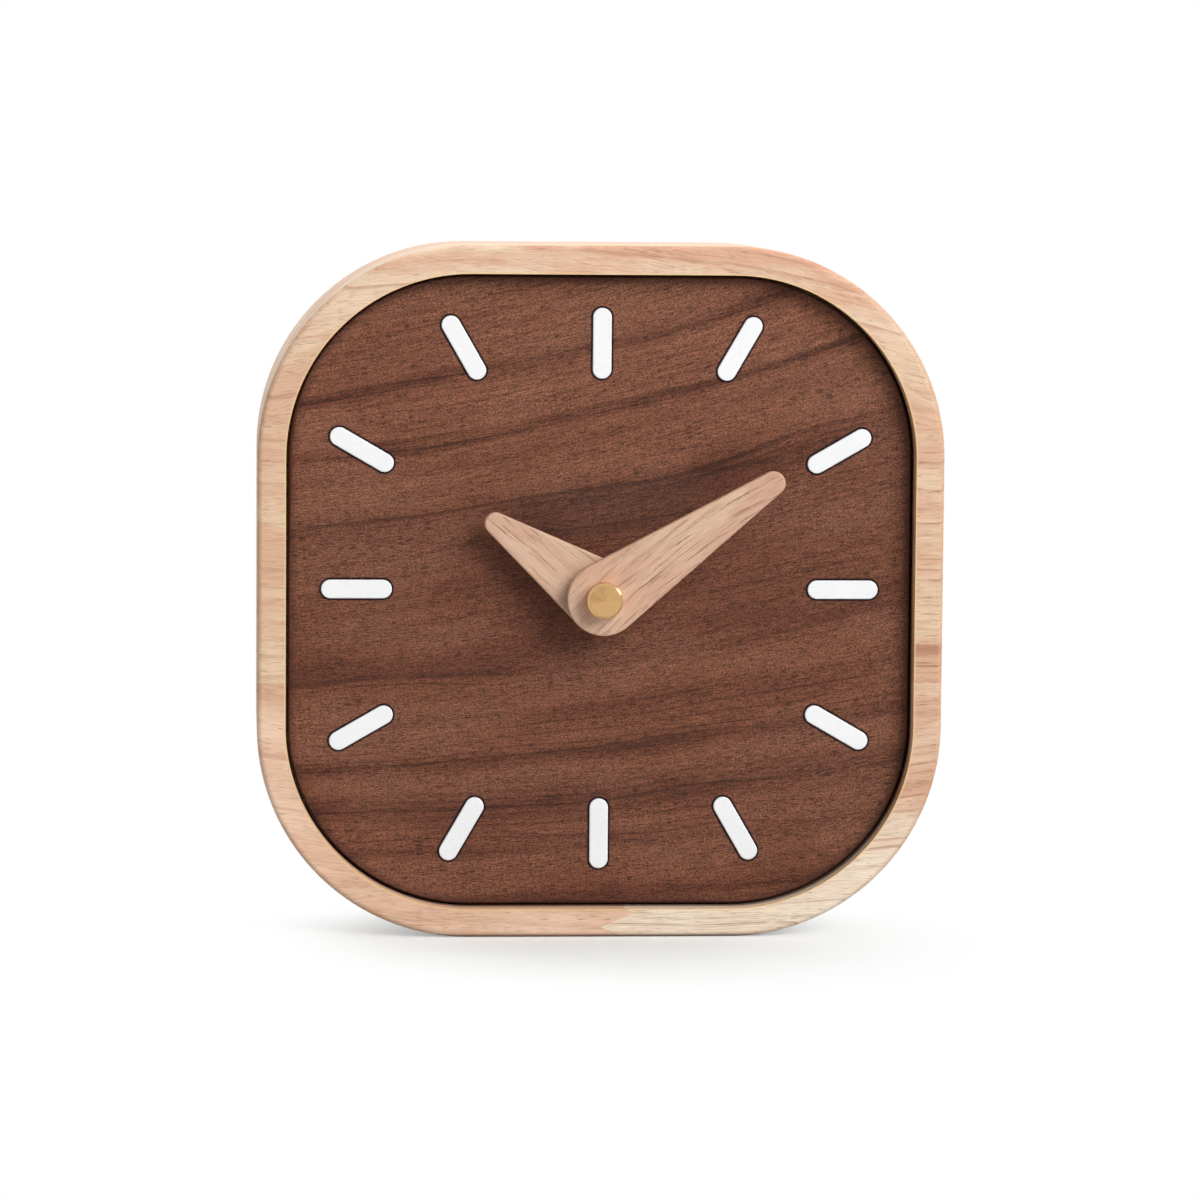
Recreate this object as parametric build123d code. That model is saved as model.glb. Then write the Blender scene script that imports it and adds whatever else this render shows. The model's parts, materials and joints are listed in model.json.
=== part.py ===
from build123d import *
import math
import os

# A small wooden desk clock: a rounded square case cut from a glued-up light
# wood panel, a walnut dial with inlaid white hour bars, two wooden hands, and
# a battery movement that hangs behind the dial on its threaded bushing.
# X is to the right, Y goes back from the dial and Z is up. The origin is the
# middle of the flat base. All sizes are in millimetres, all angles in degrees.

# Case
case_width = 120.0
case_height = 121.0
case_depth = 40.0
corner_radius = 37.0
rim_wall = 5.0
ledge_width = 3.0
case_edge_round = 1.0
rim_inner_bevel = 0.35
stave_width = 44.8
finger_tip_height = 1.8
finger_tip_x = 0.2
finger_length = 6.0
finger_pitch = 5.0

# Dial and hour bars
dial_recess = 4.0
dial_thickness = 5.0
dial_gap = 0.4
dial_edge_bevel = 0.3
dial_hole_clearance = 0.2
bar_length = 12.4
bar_width = 3.3
bar_sunk = 2.0
bar_proud = 0.4
bar_clearance = 0.12
bar_edge_round = 0.25
bar_ring_rise = 0.4
hub_drop = 0.6

# How far out the bars lie, as shares of half the opening: the four at 12, 3, 6
# and 9, and the eight between them
straight_bar_share = 0.776
slanted_bar_share = 0.878

# Angles of the hands, clockwise from 12: about nine minutes past ten
minute_hand_angle = 55.4
hour_hand_angle = 304.6

# Hands
hand_thickness = 2.0
hand_hub_radius = 6.36
minute_hand_reach = 35.7
minute_tip_radius = 2.06
hour_hand_reach = 22.7
hour_tip_radius = 1.92
hand_edge_round = 0.35

# Gaps and steps along the shafts, from the end of the bushing forward
hour_hand_gap = 0.7
hour_tube_above_hand = 0.3
minute_hand_gap = 1.2
minute_neck_above_hand = 1.5
seconds_arbor_above_neck = 0.3

# Cap and fixing parts
cap_radius = 3.12
cap_height = 3.6
cap_bevel = 0.4
cap_inner_gap = 0.5
washer_radius = 5.5
washer_thickness = 0.6
nut_across_flats = 10.0
nut_height = 2.2
nut_bevel = 0.4
bushing_above_nut = 0.4
gasket_radius = 9.0
gasket_thickness = 1.0
bushing_radius = 3.8
thread_clearance = 0.02

# Shafts on the centre line, from the outside in
running_clearance = 0.08
hour_tube_radius = 2.5
minute_tube_radius = 1.7
minute_neck_radius = 1.4
seconds_arbor_radius = 0.5

# Movement case
movement_wall = 1.4
movement_corner = 3.0
movement_edge_bevel = 0.5
split_depth = 8.0
bay_clearance = 0.45
partition_wall = 1.2
partition_notch = 1.6
window_margin = 0.4
window_edge = 0.2
tab_width = 6.0
tab_thickness = 0.7
tab_length = 4.0
tab_spacing = 26.0
tab_clearance = 0.1
works_low_gap = 1.11
coil_top_gap = 1.72
polarity_mark = 3.0
polarity_mark_width = 0.7
polarity_mark_depth = 0.3

# Wheel train: tooth numbers
cannon_teeth = 15
motion_teeth = 45
motion_pinion_teeth = 12
hour_teeth = 48
knob_teeth = 15
centre_teeth = 64
third_pinion_teeth = 8
third_teeth = 60
seconds_pinion_teeth = 8
seconds_teeth = 60
intermediate_pinion_teeth = 10
intermediate_teeth = 60
rotor_teeth = 12

# Wheel train: distances between axes, and angles from one axis to the next,
# turned from +X towards +Z. The intermediate axis lies a step further out than
# the third one, so that each wheel on the centre line clears both arbors.
motion_distance = 7.5
motion_angle = -24.0
knob_angle = 0.0
third_distance = 8.6
third_angle = 140.0
intermediate_step = 0.15
intermediate_angle = 35.0
rotor_distance = 7.2
rotor_angle = 75.0

# Wheel train: the gap in front of each wheel, behind the wheel before it
hour_wheel_gap = 0.3
motion_wheel_gap = 0.5
centre_wheel_gap = 0.8
third_wheel_gap = 1.2
seconds_wheel_gap = 1.0
intermediate_wheel_gap = 1.2
plate_wheel_gap = 0.8
hour_wheel_thickness = 1.2
wheel_thickness = 1.0
pinion_extra = 0.2

# Tooth shape, as shares of the module or of the tooth pitch
tooth_height_share = 0.85
root_depth_share = 1.2
wheel_tooth_shares = (0.56, 0.44, 0.20)
pinion_tooth_shares = (0.40, 0.40, 0.20)

# Arbors, posts and bearings inside the movement
arbor_radius = 0.4
pivot_clearance = 0.06
boss_wall = 0.8
boss_gap = 0.3
post_radius = 0.7
motion_post_extra = 0.4
minute_hub_radius = 1.5
pillar_radius = 1.4
left_pillar_gap = 1.6
left_pillar_rise = 3.5
right_pillar_across = 0.95
right_pillar_rise = 4.77
upper_pillar_gap = 1.9
upper_pillar_rise = 0.9
pillar_peg_radius = 0.6
peg_length = 0.7
bearing_plate_thickness = 1.0
bearing_plate_gap = 0.2
bearing_plate_margin = 2.0

# Setting knob
knob_radius = 6.5
knob_height = 2.6
knob_gap = 0.6
knob_shaft_radius = 1.4
knob_pivot_radius = 0.8
knob_pivot_length = 0.9
knob_flutes = 24
knob_flute_radius = 0.5
knob_edge_bevel = 0.4

# Motor
magnet_radius = 2.5
magnet_length = 3.0
magnet_air_gap = 0.5
stator_width = 5.0
stator_ring = 2.0
stator_slot = 0.6
plate_thickness = 1.0
coil_front_gap = 0.7
coil_above_rotor = 8.5
core_width = 4.0
core_post_radius = 1.6
core_pin_radius = 0.7
core_pin_above = 0.4
bobbin_gap = 1.0
bobbin_flange_radius = 4.4
bobbin_flange_thickness = 0.8
bobbin_tube_wall = 0.5
winding_radius = 4.0

# Circuit board and what is on it
board_width = 10.0
board_thickness = 0.8
board_depth = 9.6
board_bottom_gap = 0.8
board_post_radius = 1.2
board_post_inset = 1.8
chip_side = 5.0
chip_height = 1.2
chip_edge_bevel = 0.3
chip_top_gap = 1.5
chip_crystal_gap = 0.5
crystal_radius = 1.0
crystal_length = 6.0
crystal_lead_radius = 0.15
crystal_lead_length = 1.6
crystal_lead_spacing = 0.7

# Battery and contacts
battery_radius = 7.25
battery_body_length = 49.3
battery_nub_radius = 2.75
battery_nub_length = 1.0
battery_edge_round = 0.6
battery_front_gap = 0.1
contact_thickness = 0.3
contact_gap = 0.05
contact_width = 6.0
contact_reach = 5.5
contact_tongue = 3.0
contact_wall_gap = 0.3
leaf_reach = 1.6
leaf_half_height = 4.6
leaf_tip_half = 0.5

# One overrun for every cut that goes right through
overrun = 1.0

# Places along the depth, from the front of the case back
case_front = -case_depth / 2
case_back = case_depth / 2
dial_front = case_front + dial_recess
dial_back = dial_front + dial_thickness
movement_front = dial_back + gasket_thickness
works_front = movement_front + movement_wall
case_split = movement_front + split_depth

# Places of the wheels, measured back from the movement's front wall
hour_wheel_depth = hour_wheel_gap
motion_wheel_depth = hour_wheel_depth + hour_wheel_thickness + motion_wheel_gap
centre_wheel_depth = motion_wheel_depth + wheel_thickness + centre_wheel_gap
third_wheel_depth = centre_wheel_depth + wheel_thickness + third_wheel_gap
seconds_wheel_depth = third_wheel_depth + wheel_thickness + seconds_wheel_gap
intermediate_wheel_depth = seconds_wheel_depth + wheel_thickness + intermediate_wheel_gap
plate_front = works_front + intermediate_wheel_depth + wheel_thickness + plate_wheel_gap
plate_back = plate_front + bearing_plate_thickness
works_back = plate_back + bearing_plate_gap
movement_back = works_back + movement_wall

# Places of the motor, the circuit and the battery along the depth
coil_axis_y = works_front + coil_front_gap + bobbin_flange_radius
stator_back = coil_axis_y - plate_thickness / 2
stator_front = stator_back - plate_thickness
core_back = stator_back + plate_thickness
board_front = works_front + board_depth
board_back = board_front + board_thickness
battery_axis_y = works_front + battery_front_gap + battery_radius

# Heights of the hands above the front of the dial
bushing_height = washer_thickness + nut_height + bushing_above_nut
hour_hand_height = bushing_height + hour_hand_gap
hour_tube_height = hour_hand_height + hand_thickness + hour_tube_above_hand
minute_hand_height = hour_tube_height + minute_hand_gap

# Opening of the case, and the hole in the dial
hub_height = case_height / 2 - hub_drop
pocket_width = case_width - 2 * rim_wall
pocket_height = case_height - 2 * rim_wall
pocket_corner = corner_radius - rim_wall
dial_hole_radius = bushing_radius + dial_hole_clearance


def step_from(place, distance, angle):
    """A place at a distance and angle from another one."""
    turn = math.radians(angle)
    return (place[0] + distance * math.cos(turn), place[1] + distance * math.sin(turn))


def module_of(distance, teeth, other_teeth):
    """The module that makes two gears mesh at a distance."""
    return 2 * distance / (teeth + other_teeth)


def tip_radius_of(teeth, module):
    return (teeth / 2 + tooth_height_share) * module


# Modules of the meshing pairs
intermediate_distance = third_distance + intermediate_step
cannon_module = module_of(motion_distance, cannon_teeth, motion_teeth)
hour_module = module_of(motion_distance, motion_pinion_teeth, hour_teeth)
centre_module = module_of(third_distance, centre_teeth, third_pinion_teeth)
third_module = module_of(third_distance, third_teeth, seconds_pinion_teeth)
seconds_module = module_of(intermediate_distance, seconds_teeth, intermediate_pinion_teeth)
rotor_module = module_of(rotor_distance, intermediate_teeth, rotor_teeth)

# Places of the axes, as seen from the front, from the centre of the hands
knob_distance = cannon_module * (knob_teeth + motion_teeth) / 2
centre = (0.0, 0.0)
motion_axis = step_from(centre, motion_distance, motion_angle)
knob_axis = step_from(motion_axis, knob_distance, knob_angle)
third_axis = step_from(centre, third_distance, third_angle)
intermediate_axis = step_from(centre, intermediate_distance, intermediate_angle)
rotor_axis = step_from(intermediate_axis, rotor_distance, rotor_angle)

# The battery's bay, below a partition that clears the lowest wheel
lowest_wheel = min(
    motion_axis[1] - tip_radius_of(motion_teeth, cannon_module),
    -tip_radius_of(centre_teeth, centre_module),
    -tip_radius_of(seconds_teeth, seconds_module),
)
partition_top = lowest_wheel - works_low_gap
bay_top = partition_top - partition_wall
bay_bottom = bay_top - 2 * (battery_radius + bay_clearance)
battery_axis_z = (bay_top + bay_bottom) / 2

# Places of the motor: the coil lies above the rotor
stator_ring_radius = magnet_radius + magnet_air_gap + stator_ring
stator_ring_left = rotor_axis[0] - stator_ring_radius
core_end_x = rotor_axis[0] + stator_ring_radius
core_height = rotor_axis[1] + coil_above_rotor

# Outline of the movement, as wide as the battery and its contacts
half_width_inside = (
    (battery_body_length + battery_nub_length + leaf_reach) / 2
    + contact_wall_gap
    + contact_thickness
    + contact_gap
)
works_top = core_height + bobbin_flange_radius + coil_top_gap
shell_width = 2 * (half_width_inside + movement_wall)
shell_top = works_top + movement_wall
shell_bottom = bay_bottom - movement_wall

# Places of the circuit board, above the partition at the left
board_left = -half_width_inside + contact_wall_gap + contact_thickness
board_right = board_left + board_width
board_bottom = partition_top + board_bottom_gap
crystal_bottom = board_bottom + 2 * board_post_inset + crystal_lead_length
chip_bottom = crystal_bottom + crystal_length + chip_crystal_gap
board_top = chip_bottom + chip_side + chip_top_gap

# Pillars of the bearing plate: left, right and upper
pillar_places = [
    (board_right + left_pillar_gap + pillar_radius, partition_top + left_pillar_rise),
    (knob_axis[0] + right_pillar_across, knob_axis[1] + right_pillar_rise),
    (
        stator_ring_left - upper_pillar_gap - core_post_radius,
        rotor_axis[1] + upper_pillar_rise,
    ),
]


# Shared shapes

def slab(outline, front, back):
    """A flat piece: an outline seen from the front, between two depths."""
    lifted = Plane.XZ.offset(-back) * (Pos(0, hub_height) * outline)
    return extrude(lifted, amount=back - front, dir=(0, -1, 0))


def rod(place, radius, front, back):
    """A round bar along Y."""
    return slab(Pos(*place) * Circle(radius), front, back)


def box_between(low_x, high_x, front, back, low_z, high_z):
    """A block between six planes, with heights counted from the hub."""
    middle = Pos((low_x + high_x) / 2, (low_z + high_z) / 2)
    return slab(middle * Rectangle(high_x - low_x, high_z - low_z), front, back)


def rounded(width, height, radius):
    return RectangleRounded(width, height, radius)


def on_case(outline):
    """An outline that is centred on the case, which the hub is a little below."""
    return Pos(0, hub_drop) * outline


def front_edges(shape):
    return shape.faces().sort_by(Axis.Y)[0].edges()


def back_edges(shape):
    return shape.faces().sort_by(Axis.Y)[-1].edges()


def polar(radius, angle):
    turn = math.radians(angle)
    return (radius * math.cos(turn), radius * math.sin(turn))


def gear_outline(teeth, module, first_tooth, tooth_shares):
    """A toothed outline. The shares give the tooth's width at its root, its
    pitch circle and its tip, in parts of the pitch."""
    pitch_radius = teeth * module / 2
    root_radius = pitch_radius - root_depth_share * module
    tip_radius = pitch_radius + tooth_height_share * module
    pitch_angle = 360 / teeth
    root, middle, tip = (share * pitch_angle / 2 for share in tooth_shares)
    points = []
    for number in range(teeth):
        angle = first_tooth + number * pitch_angle
        points.append(polar(root_radius, angle - root))
        points.append(polar(pitch_radius, angle - middle))
        points.append(polar(tip_radius, angle - tip))
        points.append(polar(tip_radius, angle + tip))
        points.append(polar(pitch_radius, angle + middle))
        points.append(polar(root_radius, angle + root))
    return Polygon(*points, align=None)


def gear(place, teeth, module, first_tooth, tooth_shares, front, back):
    outline = Pos(*place) * gear_outline(teeth, module, first_tooth, tooth_shares)
    return slab(outline, front, back)


def meshing_tooth(teeth, first_tooth, angle, other_teeth):
    """Where the other gear's first tooth stands, so that its teeth fall
    between this gear's, with the other gear lying at a given angle."""
    ahead = first_tooth - angle
    return angle + 180 - ahead * teeth / other_teeth + 180 / other_teeth


# First tooth of each gear
cannon_first = motion_angle
motion_first = meshing_tooth(cannon_teeth, cannon_first, motion_angle, motion_teeth)
knob_first = meshing_tooth(motion_teeth, motion_first, knob_angle, knob_teeth)
hour_first = motion_angle
motion_pinion_first = meshing_tooth(
    hour_teeth, hour_first, motion_angle, motion_pinion_teeth
)
centre_first = third_angle
third_pinion_first = meshing_tooth(
    centre_teeth, centre_first, third_angle, third_pinion_teeth
)
seconds_pinion_first = third_angle
third_first = meshing_tooth(
    seconds_pinion_teeth, seconds_pinion_first, third_angle, third_teeth
)
seconds_first = intermediate_angle
intermediate_pinion_first = meshing_tooth(
    seconds_teeth, seconds_first, intermediate_angle, intermediate_pinion_teeth
)
intermediate_first = rotor_angle
rotor_first = meshing_tooth(
    intermediate_teeth, intermediate_first, rotor_angle, rotor_teeth
)


# Case

def case_ring():
    """The whole ring, with the dial's rebate in front and a ledge behind it."""
    outline = rounded(case_width, case_height, corner_radius)
    ring = slab(on_case(outline), case_front, case_back)
    ring = fillet(front_edges(ring) + back_edges(ring), case_edge_round)
    pocket = rounded(pocket_width, pocket_height, pocket_corner)
    cavity = rounded(
        pocket_width - 2 * ledge_width,
        pocket_height - 2 * ledge_width,
        pocket_corner - ledge_width,
    )
    ring -= slab(on_case(pocket), case_front - overrun, dial_back)
    ring -= slab(on_case(cavity), case_front, case_back + overrun)
    for face in (ring.faces().sort_by(Axis.Y)[0], ring.faces().sort_by(Axis.Y)[-1]):
        ring = chamfer(face.inner_wires()[0].edges(), rim_inner_bevel)
    return ring


def finger_outline():
    """Everything right of the finger joint in the lowest stave."""
    half_pitch = finger_pitch / 2
    bottom = -hub_height
    steps = math.ceil(stave_width / half_pitch) + 2
    points = []
    for number in range(-1, steps):
        on_tip = number % 2 == 0
        x = finger_tip_x if on_tip else finger_tip_x + finger_length
        points.append((x, bottom + finger_tip_height + number * half_pitch))
    points.append((case_width, points[-1][1]))
    points.append((case_width, points[0][1]))
    return Polygon(*points, align=None)


def case_staves():
    """The ring cut along its glue lines: three staves with the grain across,
    the lowest one finger-jointed from two lengths."""
    ring = case_ring()
    front = case_front - overrun
    back = case_back + overrun
    first_seam = stave_width - hub_height
    second_seam = 2 * stave_width - hub_height
    lower = ring & box_between(-case_width, case_width, front, back, -case_height, first_seam)
    middle = ring & box_between(-case_width, case_width, front, back, first_seam, second_seam)
    right_half = box_between(0, case_width, front, back, -case_height, case_height)
    right_of_fingers = slab(finger_outline(), front, back)
    return {
        "case_upper_stave": ring
        & box_between(-case_width, case_width, front, back, second_seam, case_height),
        "case_middle_left": middle - right_half,
        "case_middle_right": middle & right_half,
        "case_lower_left": lower - right_of_fingers,
        "case_lower_right": lower & right_of_fingers,
    }


# Dial

def bar_place(hour):
    """Where an hour bar lies, with its long side pointing at the hub."""
    angle = 90 - 30 * hour
    share = straight_bar_share if hour % 3 == 0 else slanted_bar_share
    across, up = polar(share / 2, angle)
    place = Pos(across * pocket_width, up * pocket_height + bar_ring_rise)
    return on_case(place * Rot(0, 0, angle))


def dial_board():
    outline = rounded(
        pocket_width - 2 * dial_gap,
        pocket_height - 2 * dial_gap,
        pocket_corner - dial_gap,
    )
    board = slab(on_case(outline), dial_front, dial_back)
    board = chamfer(front_edges(board), dial_edge_bevel)
    board -= rod(centre, dial_hole_radius, dial_front - overrun, dial_back + overrun)
    slot_length = bar_length + 2 * bar_clearance
    slot_width = bar_width + 2 * bar_clearance
    for hour in range(1, 13):
        slot = bar_place(hour) * SlotOverall(slot_length, slot_width)
        board -= slab(slot, dial_front - overrun, dial_front + bar_sunk)
    return board


def hour_bar(hour):
    bar = slab(
        bar_place(hour) * SlotOverall(bar_length, bar_width),
        dial_front - bar_proud,
        dial_front + bar_sunk,
    )
    return fillet(front_edges(bar), bar_edge_round)


# Hands

def hand_outline(reach, tip_radius):
    """A drop: a round hub and a small round tip joined by their tangents."""
    lean = math.degrees(math.asin((hand_hub_radius - tip_radius) / reach))
    hub_x, hub_z = polar(hand_hub_radius, lean)
    tip_x, tip_z = polar(tip_radius, lean)
    blade = Polygon(
        (hub_x, hub_z),
        (tip_x, reach + tip_z),
        (-tip_x, reach + tip_z),
        (-hub_x, hub_z),
        align=None,
    )
    return blade + Circle(hand_hub_radius) + Pos(0, reach) * Circle(tip_radius)


def hand(reach, tip_radius, angle, height, hole_radius):
    back = dial_front - height
    front = back - hand_thickness
    shape = slab(Rot(0, 0, -angle) * hand_outline(reach, tip_radius), front, back)
    shape = fillet(front_edges(shape) + back_edges(shape), hand_edge_round)
    return shape - rod(centre, hole_radius, front - overrun, back + overrun)


def cap_nut():
    back = dial_front - minute_hand_height - hand_thickness
    front = back - cap_height
    neck_end = back - minute_neck_above_hand
    arbor_end = neck_end - seconds_arbor_above_neck
    cap = rod(centre, cap_radius, front, back)
    cap = chamfer(front_edges(cap), cap_bevel)
    cap -= rod(centre, minute_neck_radius + thread_clearance, neck_end, back + overrun)
    bore = seconds_arbor_radius + running_clearance
    return cap - rod(centre, bore, arbor_end - cap_inner_gap, back)


# What clamps the movement to the dial

def fixing_washer():
    back = dial_front
    washer = rod(centre, washer_radius, back - washer_thickness, back)
    return washer - rod(
        centre,
        bushing_radius + running_clearance,
        back - washer_thickness - overrun,
        back + overrun,
    )


def fixing_nut():
    back = dial_front - washer_thickness
    front = back - nut_height
    hexagon = RegularPolygon(nut_across_flats / 2, side_count=6, major_radius=False)
    nut = slab(hexagon, front, back)
    nut = chamfer(front_edges(nut), nut_bevel)
    return nut - rod(
        centre, bushing_radius + thread_clearance, front - overrun, back + overrun
    )


def rubber_gasket():
    gasket = rod(centre, gasket_radius, dial_back, movement_front)
    return gasket - rod(
        centre,
        bushing_radius + running_clearance,
        dial_back - overrun,
        movement_front + overrun,
    )


# Movement case

def shell_outline(inset):
    middle = Pos(0, (shell_top + shell_bottom) / 2)
    return middle * rounded(
        shell_width - 2 * inset, shell_top - shell_bottom - 2 * inset, movement_corner - inset
    )


def case_shell(front, back, open_front):
    """Half of the movement's box: an end wall and four sides."""
    shell = slab(shell_outline(0), front, back)
    outer = back_edges(shell) if open_front else front_edges(shell)
    shell = chamfer(outer, movement_edge_bevel)
    inside = shell_outline(movement_wall)
    if open_front:
        return shell - slab(inside, front - overrun, works_back)
    return shell - slab(inside, works_front, back + overrun)


def partition(front, back):
    """The wall between the works and the battery."""
    end = half_width_inside - partition_notch
    return box_between(-end, end, front, back, bay_top, partition_top)


def tab_places():
    return [(side, z) for side in (-1, 1) for z in (-tab_spacing / 2, tab_spacing / 2)]


def tab_block(side, z, clearance, back):
    """A snap tab on a side wall, or with a clearance the recess that it fills."""
    outer = shell_width / 2
    inner = outer - tab_thickness - clearance
    half = tab_width / 2 + clearance
    low_x, high_x = sorted((side * inner, side * outer))
    return box_between(
        low_x, high_x, case_split - tab_length - clearance, back, z - half, z + half
    )


def bearing_boss(place, pivot_radius, top):
    """A boss on the front wall that an arbor's pivot turns in."""
    outer = pivot_radius + pivot_clearance + boss_wall
    boss = rod(place, outer, works_front, top)
    return boss - rod(place, pivot_radius + pivot_clearance, works_front, top)


def pivot_bosses():
    pinion_front = works_front + centre_wheel_depth - pinion_extra
    top = pinion_front - boss_gap
    bosses = bearing_boss(third_axis, arbor_radius, top)
    bosses += bearing_boss(intermediate_axis, arbor_radius, top)
    bosses += bearing_boss(
        rotor_axis, arbor_radius, magnet_front() - boss_gap
    )
    knob_top = works_front + knob_pivot_length + running_clearance
    return bosses + bearing_boss(knob_axis, knob_pivot_radius, knob_top)


def post_with_pin(place, radius, seat, pin_radius, pin_end):
    return rod(place, radius, works_front, seat) + rod(place, pin_radius, seat, pin_end)


def core_pin_places():
    inset = core_width / 2
    left_x = -half_width_inside + contact_wall_gap + inset
    return [(left_x, core_height), (core_end_x - inset, core_height)]


def board_post_places():
    inset = board_post_inset
    return [
        (board_left + inset, board_bottom + inset),
        (board_right - inset, board_bottom + inset),
        (board_left + inset, board_top - inset),
    ]


def inner_posts():
    """Everything that stands up from the front wall to carry the works."""
    peg_end = plate_front + peg_length
    pegs = Part()
    for place in pillar_places[:2]:
        pegs += post_with_pin(
            place, pillar_radius, plate_front, pillar_peg_radius, peg_end
        )
    upper = pillar_places[2]
    pegs += rod(upper, core_post_radius, works_front, stator_front)
    pegs += rod(upper, core_pin_radius, stator_front, plate_front)
    pegs += rod(upper, pillar_peg_radius, plate_front, peg_end)
    for place in core_pin_places():
        pegs += post_with_pin(
            place, core_post_radius, stator_front, core_pin_radius, core_back + core_pin_above
        )
    for place in board_post_places():
        pegs += rod(place, board_post_radius, works_front, board_front)
    post_end = works_front + motion_wheel_depth + wheel_thickness + motion_post_extra
    return pegs + rod(motion_axis, post_radius, works_front, post_end)


def movement_front_case():
    shell = case_shell(movement_front, case_split, False)
    bushing_front = dial_front - bushing_height
    shell += rod(centre, bushing_radius, bushing_front, works_front)
    shell += partition(works_front, case_split)
    shell += pivot_bosses()
    shell += inner_posts()
    for side, z in tab_places():
        shell -= tab_block(side, z, tab_clearance, case_split + overrun)
    bore = hour_tube_radius + running_clearance
    return shell - rod(centre, bore, bushing_front - overrun, works_front + overrun)


def battery_window():
    side = half_width_inside - window_margin
    low = bay_bottom + window_edge
    return box_between(-side, side, case_split, movement_back + overrun, low, bay_top)


def polarity_marks():
    """A moulded plus at the nub end of the battery and a minus at the other."""
    front = movement_back - polarity_mark_depth
    back = movement_back + overrun
    z = partition_top + polarity_mark
    x = half_width_inside - polarity_mark
    flat_bar = Rectangle(polarity_mark, polarity_mark_width)
    upright_bar = Rectangle(polarity_mark_width, polarity_mark)
    marks = slab(Pos(x, z) * (flat_bar + upright_bar), front, back)
    return marks + slab(Pos(-x, z) * flat_bar, front, back)


def movement_rear_case():
    shell = case_shell(case_split, movement_back, True)
    shell += partition(case_split, works_back)
    shell -= battery_window()
    shell -= polarity_marks()
    for side, z in tab_places():
        shell += tab_block(side, z, 0, case_split)
    hole = knob_shaft_radius + running_clearance
    return shell - rod(knob_axis, hole, works_back - overrun, movement_back + overrun)


def bearing_plate():
    """The plate that holds the rear pivots, on pegs on three pillars."""
    axes = [centre, third_axis, intermediate_axis, rotor_axis, knob_axis] + pillar_places
    low_x = min(x for x, z in axes) - bearing_plate_margin
    high_x = max(x for x, z in axes) + bearing_plate_margin
    low_z = min(z for x, z in axes) - bearing_plate_margin
    high_z = max(z for x, z in axes) + bearing_plate_margin
    outline = Pos((low_x + high_x) / 2, (low_z + high_z) / 2) * rounded(
        high_x - low_x, high_z - low_z, bearing_plate_margin
    )
    plate = slab(outline, plate_front, plate_back)
    holes = [(place, pillar_peg_radius + pivot_clearance) for place in pillar_places]
    for place in (third_axis, intermediate_axis, rotor_axis):
        holes.append((place, arbor_radius + pivot_clearance))
    holes.append((centre, seconds_arbor_radius + pivot_clearance))
    holes.append((knob_axis, knob_shaft_radius + running_clearance))
    for place, radius in holes:
        plate -= rod(place, radius, plate_front - overrun, plate_back + overrun)
    return plate


# Wheels on the centre line

def hour_wheel():
    front = works_front + hour_wheel_depth
    back = front + hour_wheel_thickness
    tube_front = dial_front - hour_tube_height
    wheel = gear(centre, hour_teeth, hour_module, hour_first, wheel_tooth_shares, front, back)
    wheel += rod(centre, hour_tube_radius, tube_front, front)
    bore = minute_tube_radius + running_clearance
    return wheel - rod(centre, bore, tube_front - overrun, back + overrun)


def minute_arbor():
    shoulder = dial_front - minute_hand_height
    neck_front = shoulder - hand_thickness - minute_neck_above_hand
    wheel_front = works_front + motion_wheel_depth
    pinion_front = wheel_front - pinion_extra
    pinion_back = wheel_front + wheel_thickness + pinion_extra
    hub_back = works_front + centre_wheel_depth + wheel_thickness + pinion_extra
    arbor = rod(centre, minute_neck_radius, neck_front, shoulder)
    arbor += rod(centre, minute_tube_radius, shoulder, pinion_front)
    arbor += gear(
        centre,
        cannon_teeth,
        cannon_module,
        cannon_first,
        pinion_tooth_shares,
        pinion_front,
        pinion_back,
    )
    arbor += rod(centre, minute_hub_radius, pinion_back, hub_back)
    bore = seconds_arbor_radius + running_clearance
    return arbor - rod(centre, bore, neck_front - overrun, hub_back + overrun)


def centre_wheel():
    front = works_front + centre_wheel_depth
    back = front + wheel_thickness
    wheel = gear(
        centre, centre_teeth, centre_module, centre_first, wheel_tooth_shares, front, back
    )
    return wheel - rod(centre, minute_hub_radius, front - overrun, back + overrun)


def seconds_wheel():
    neck = dial_front - minute_hand_height - hand_thickness - minute_neck_above_hand
    arbor_front = neck - seconds_arbor_above_neck
    third_front = works_front + third_wheel_depth
    front = works_front + seconds_wheel_depth
    back = front + wheel_thickness
    wheel = gear(
        centre,
        seconds_pinion_teeth,
        third_module,
        seconds_pinion_first,
        pinion_tooth_shares,
        third_front - pinion_extra,
        front,
    )
    wheel += gear(
        centre, seconds_teeth, seconds_module, seconds_first, wheel_tooth_shares, front, back
    )
    wheel += rod(centre, seconds_arbor_radius, arbor_front, plate_back - bearing_plate_gap)
    return wheel


# Wheels on the other axes

def motion_wheel():
    pinion_front = works_front + hour_wheel_depth
    front = works_front + motion_wheel_depth
    back = front + wheel_thickness
    wheel = gear(
        motion_axis,
        motion_pinion_teeth,
        hour_module,
        motion_pinion_first,
        pinion_tooth_shares,
        pinion_front,
        front,
    )
    wheel += gear(
        motion_axis, motion_teeth, cannon_module, motion_first, wheel_tooth_shares, front, back
    )
    bore = post_radius + running_clearance
    return wheel - rod(motion_axis, bore, pinion_front - overrun, back + overrun)


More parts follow.
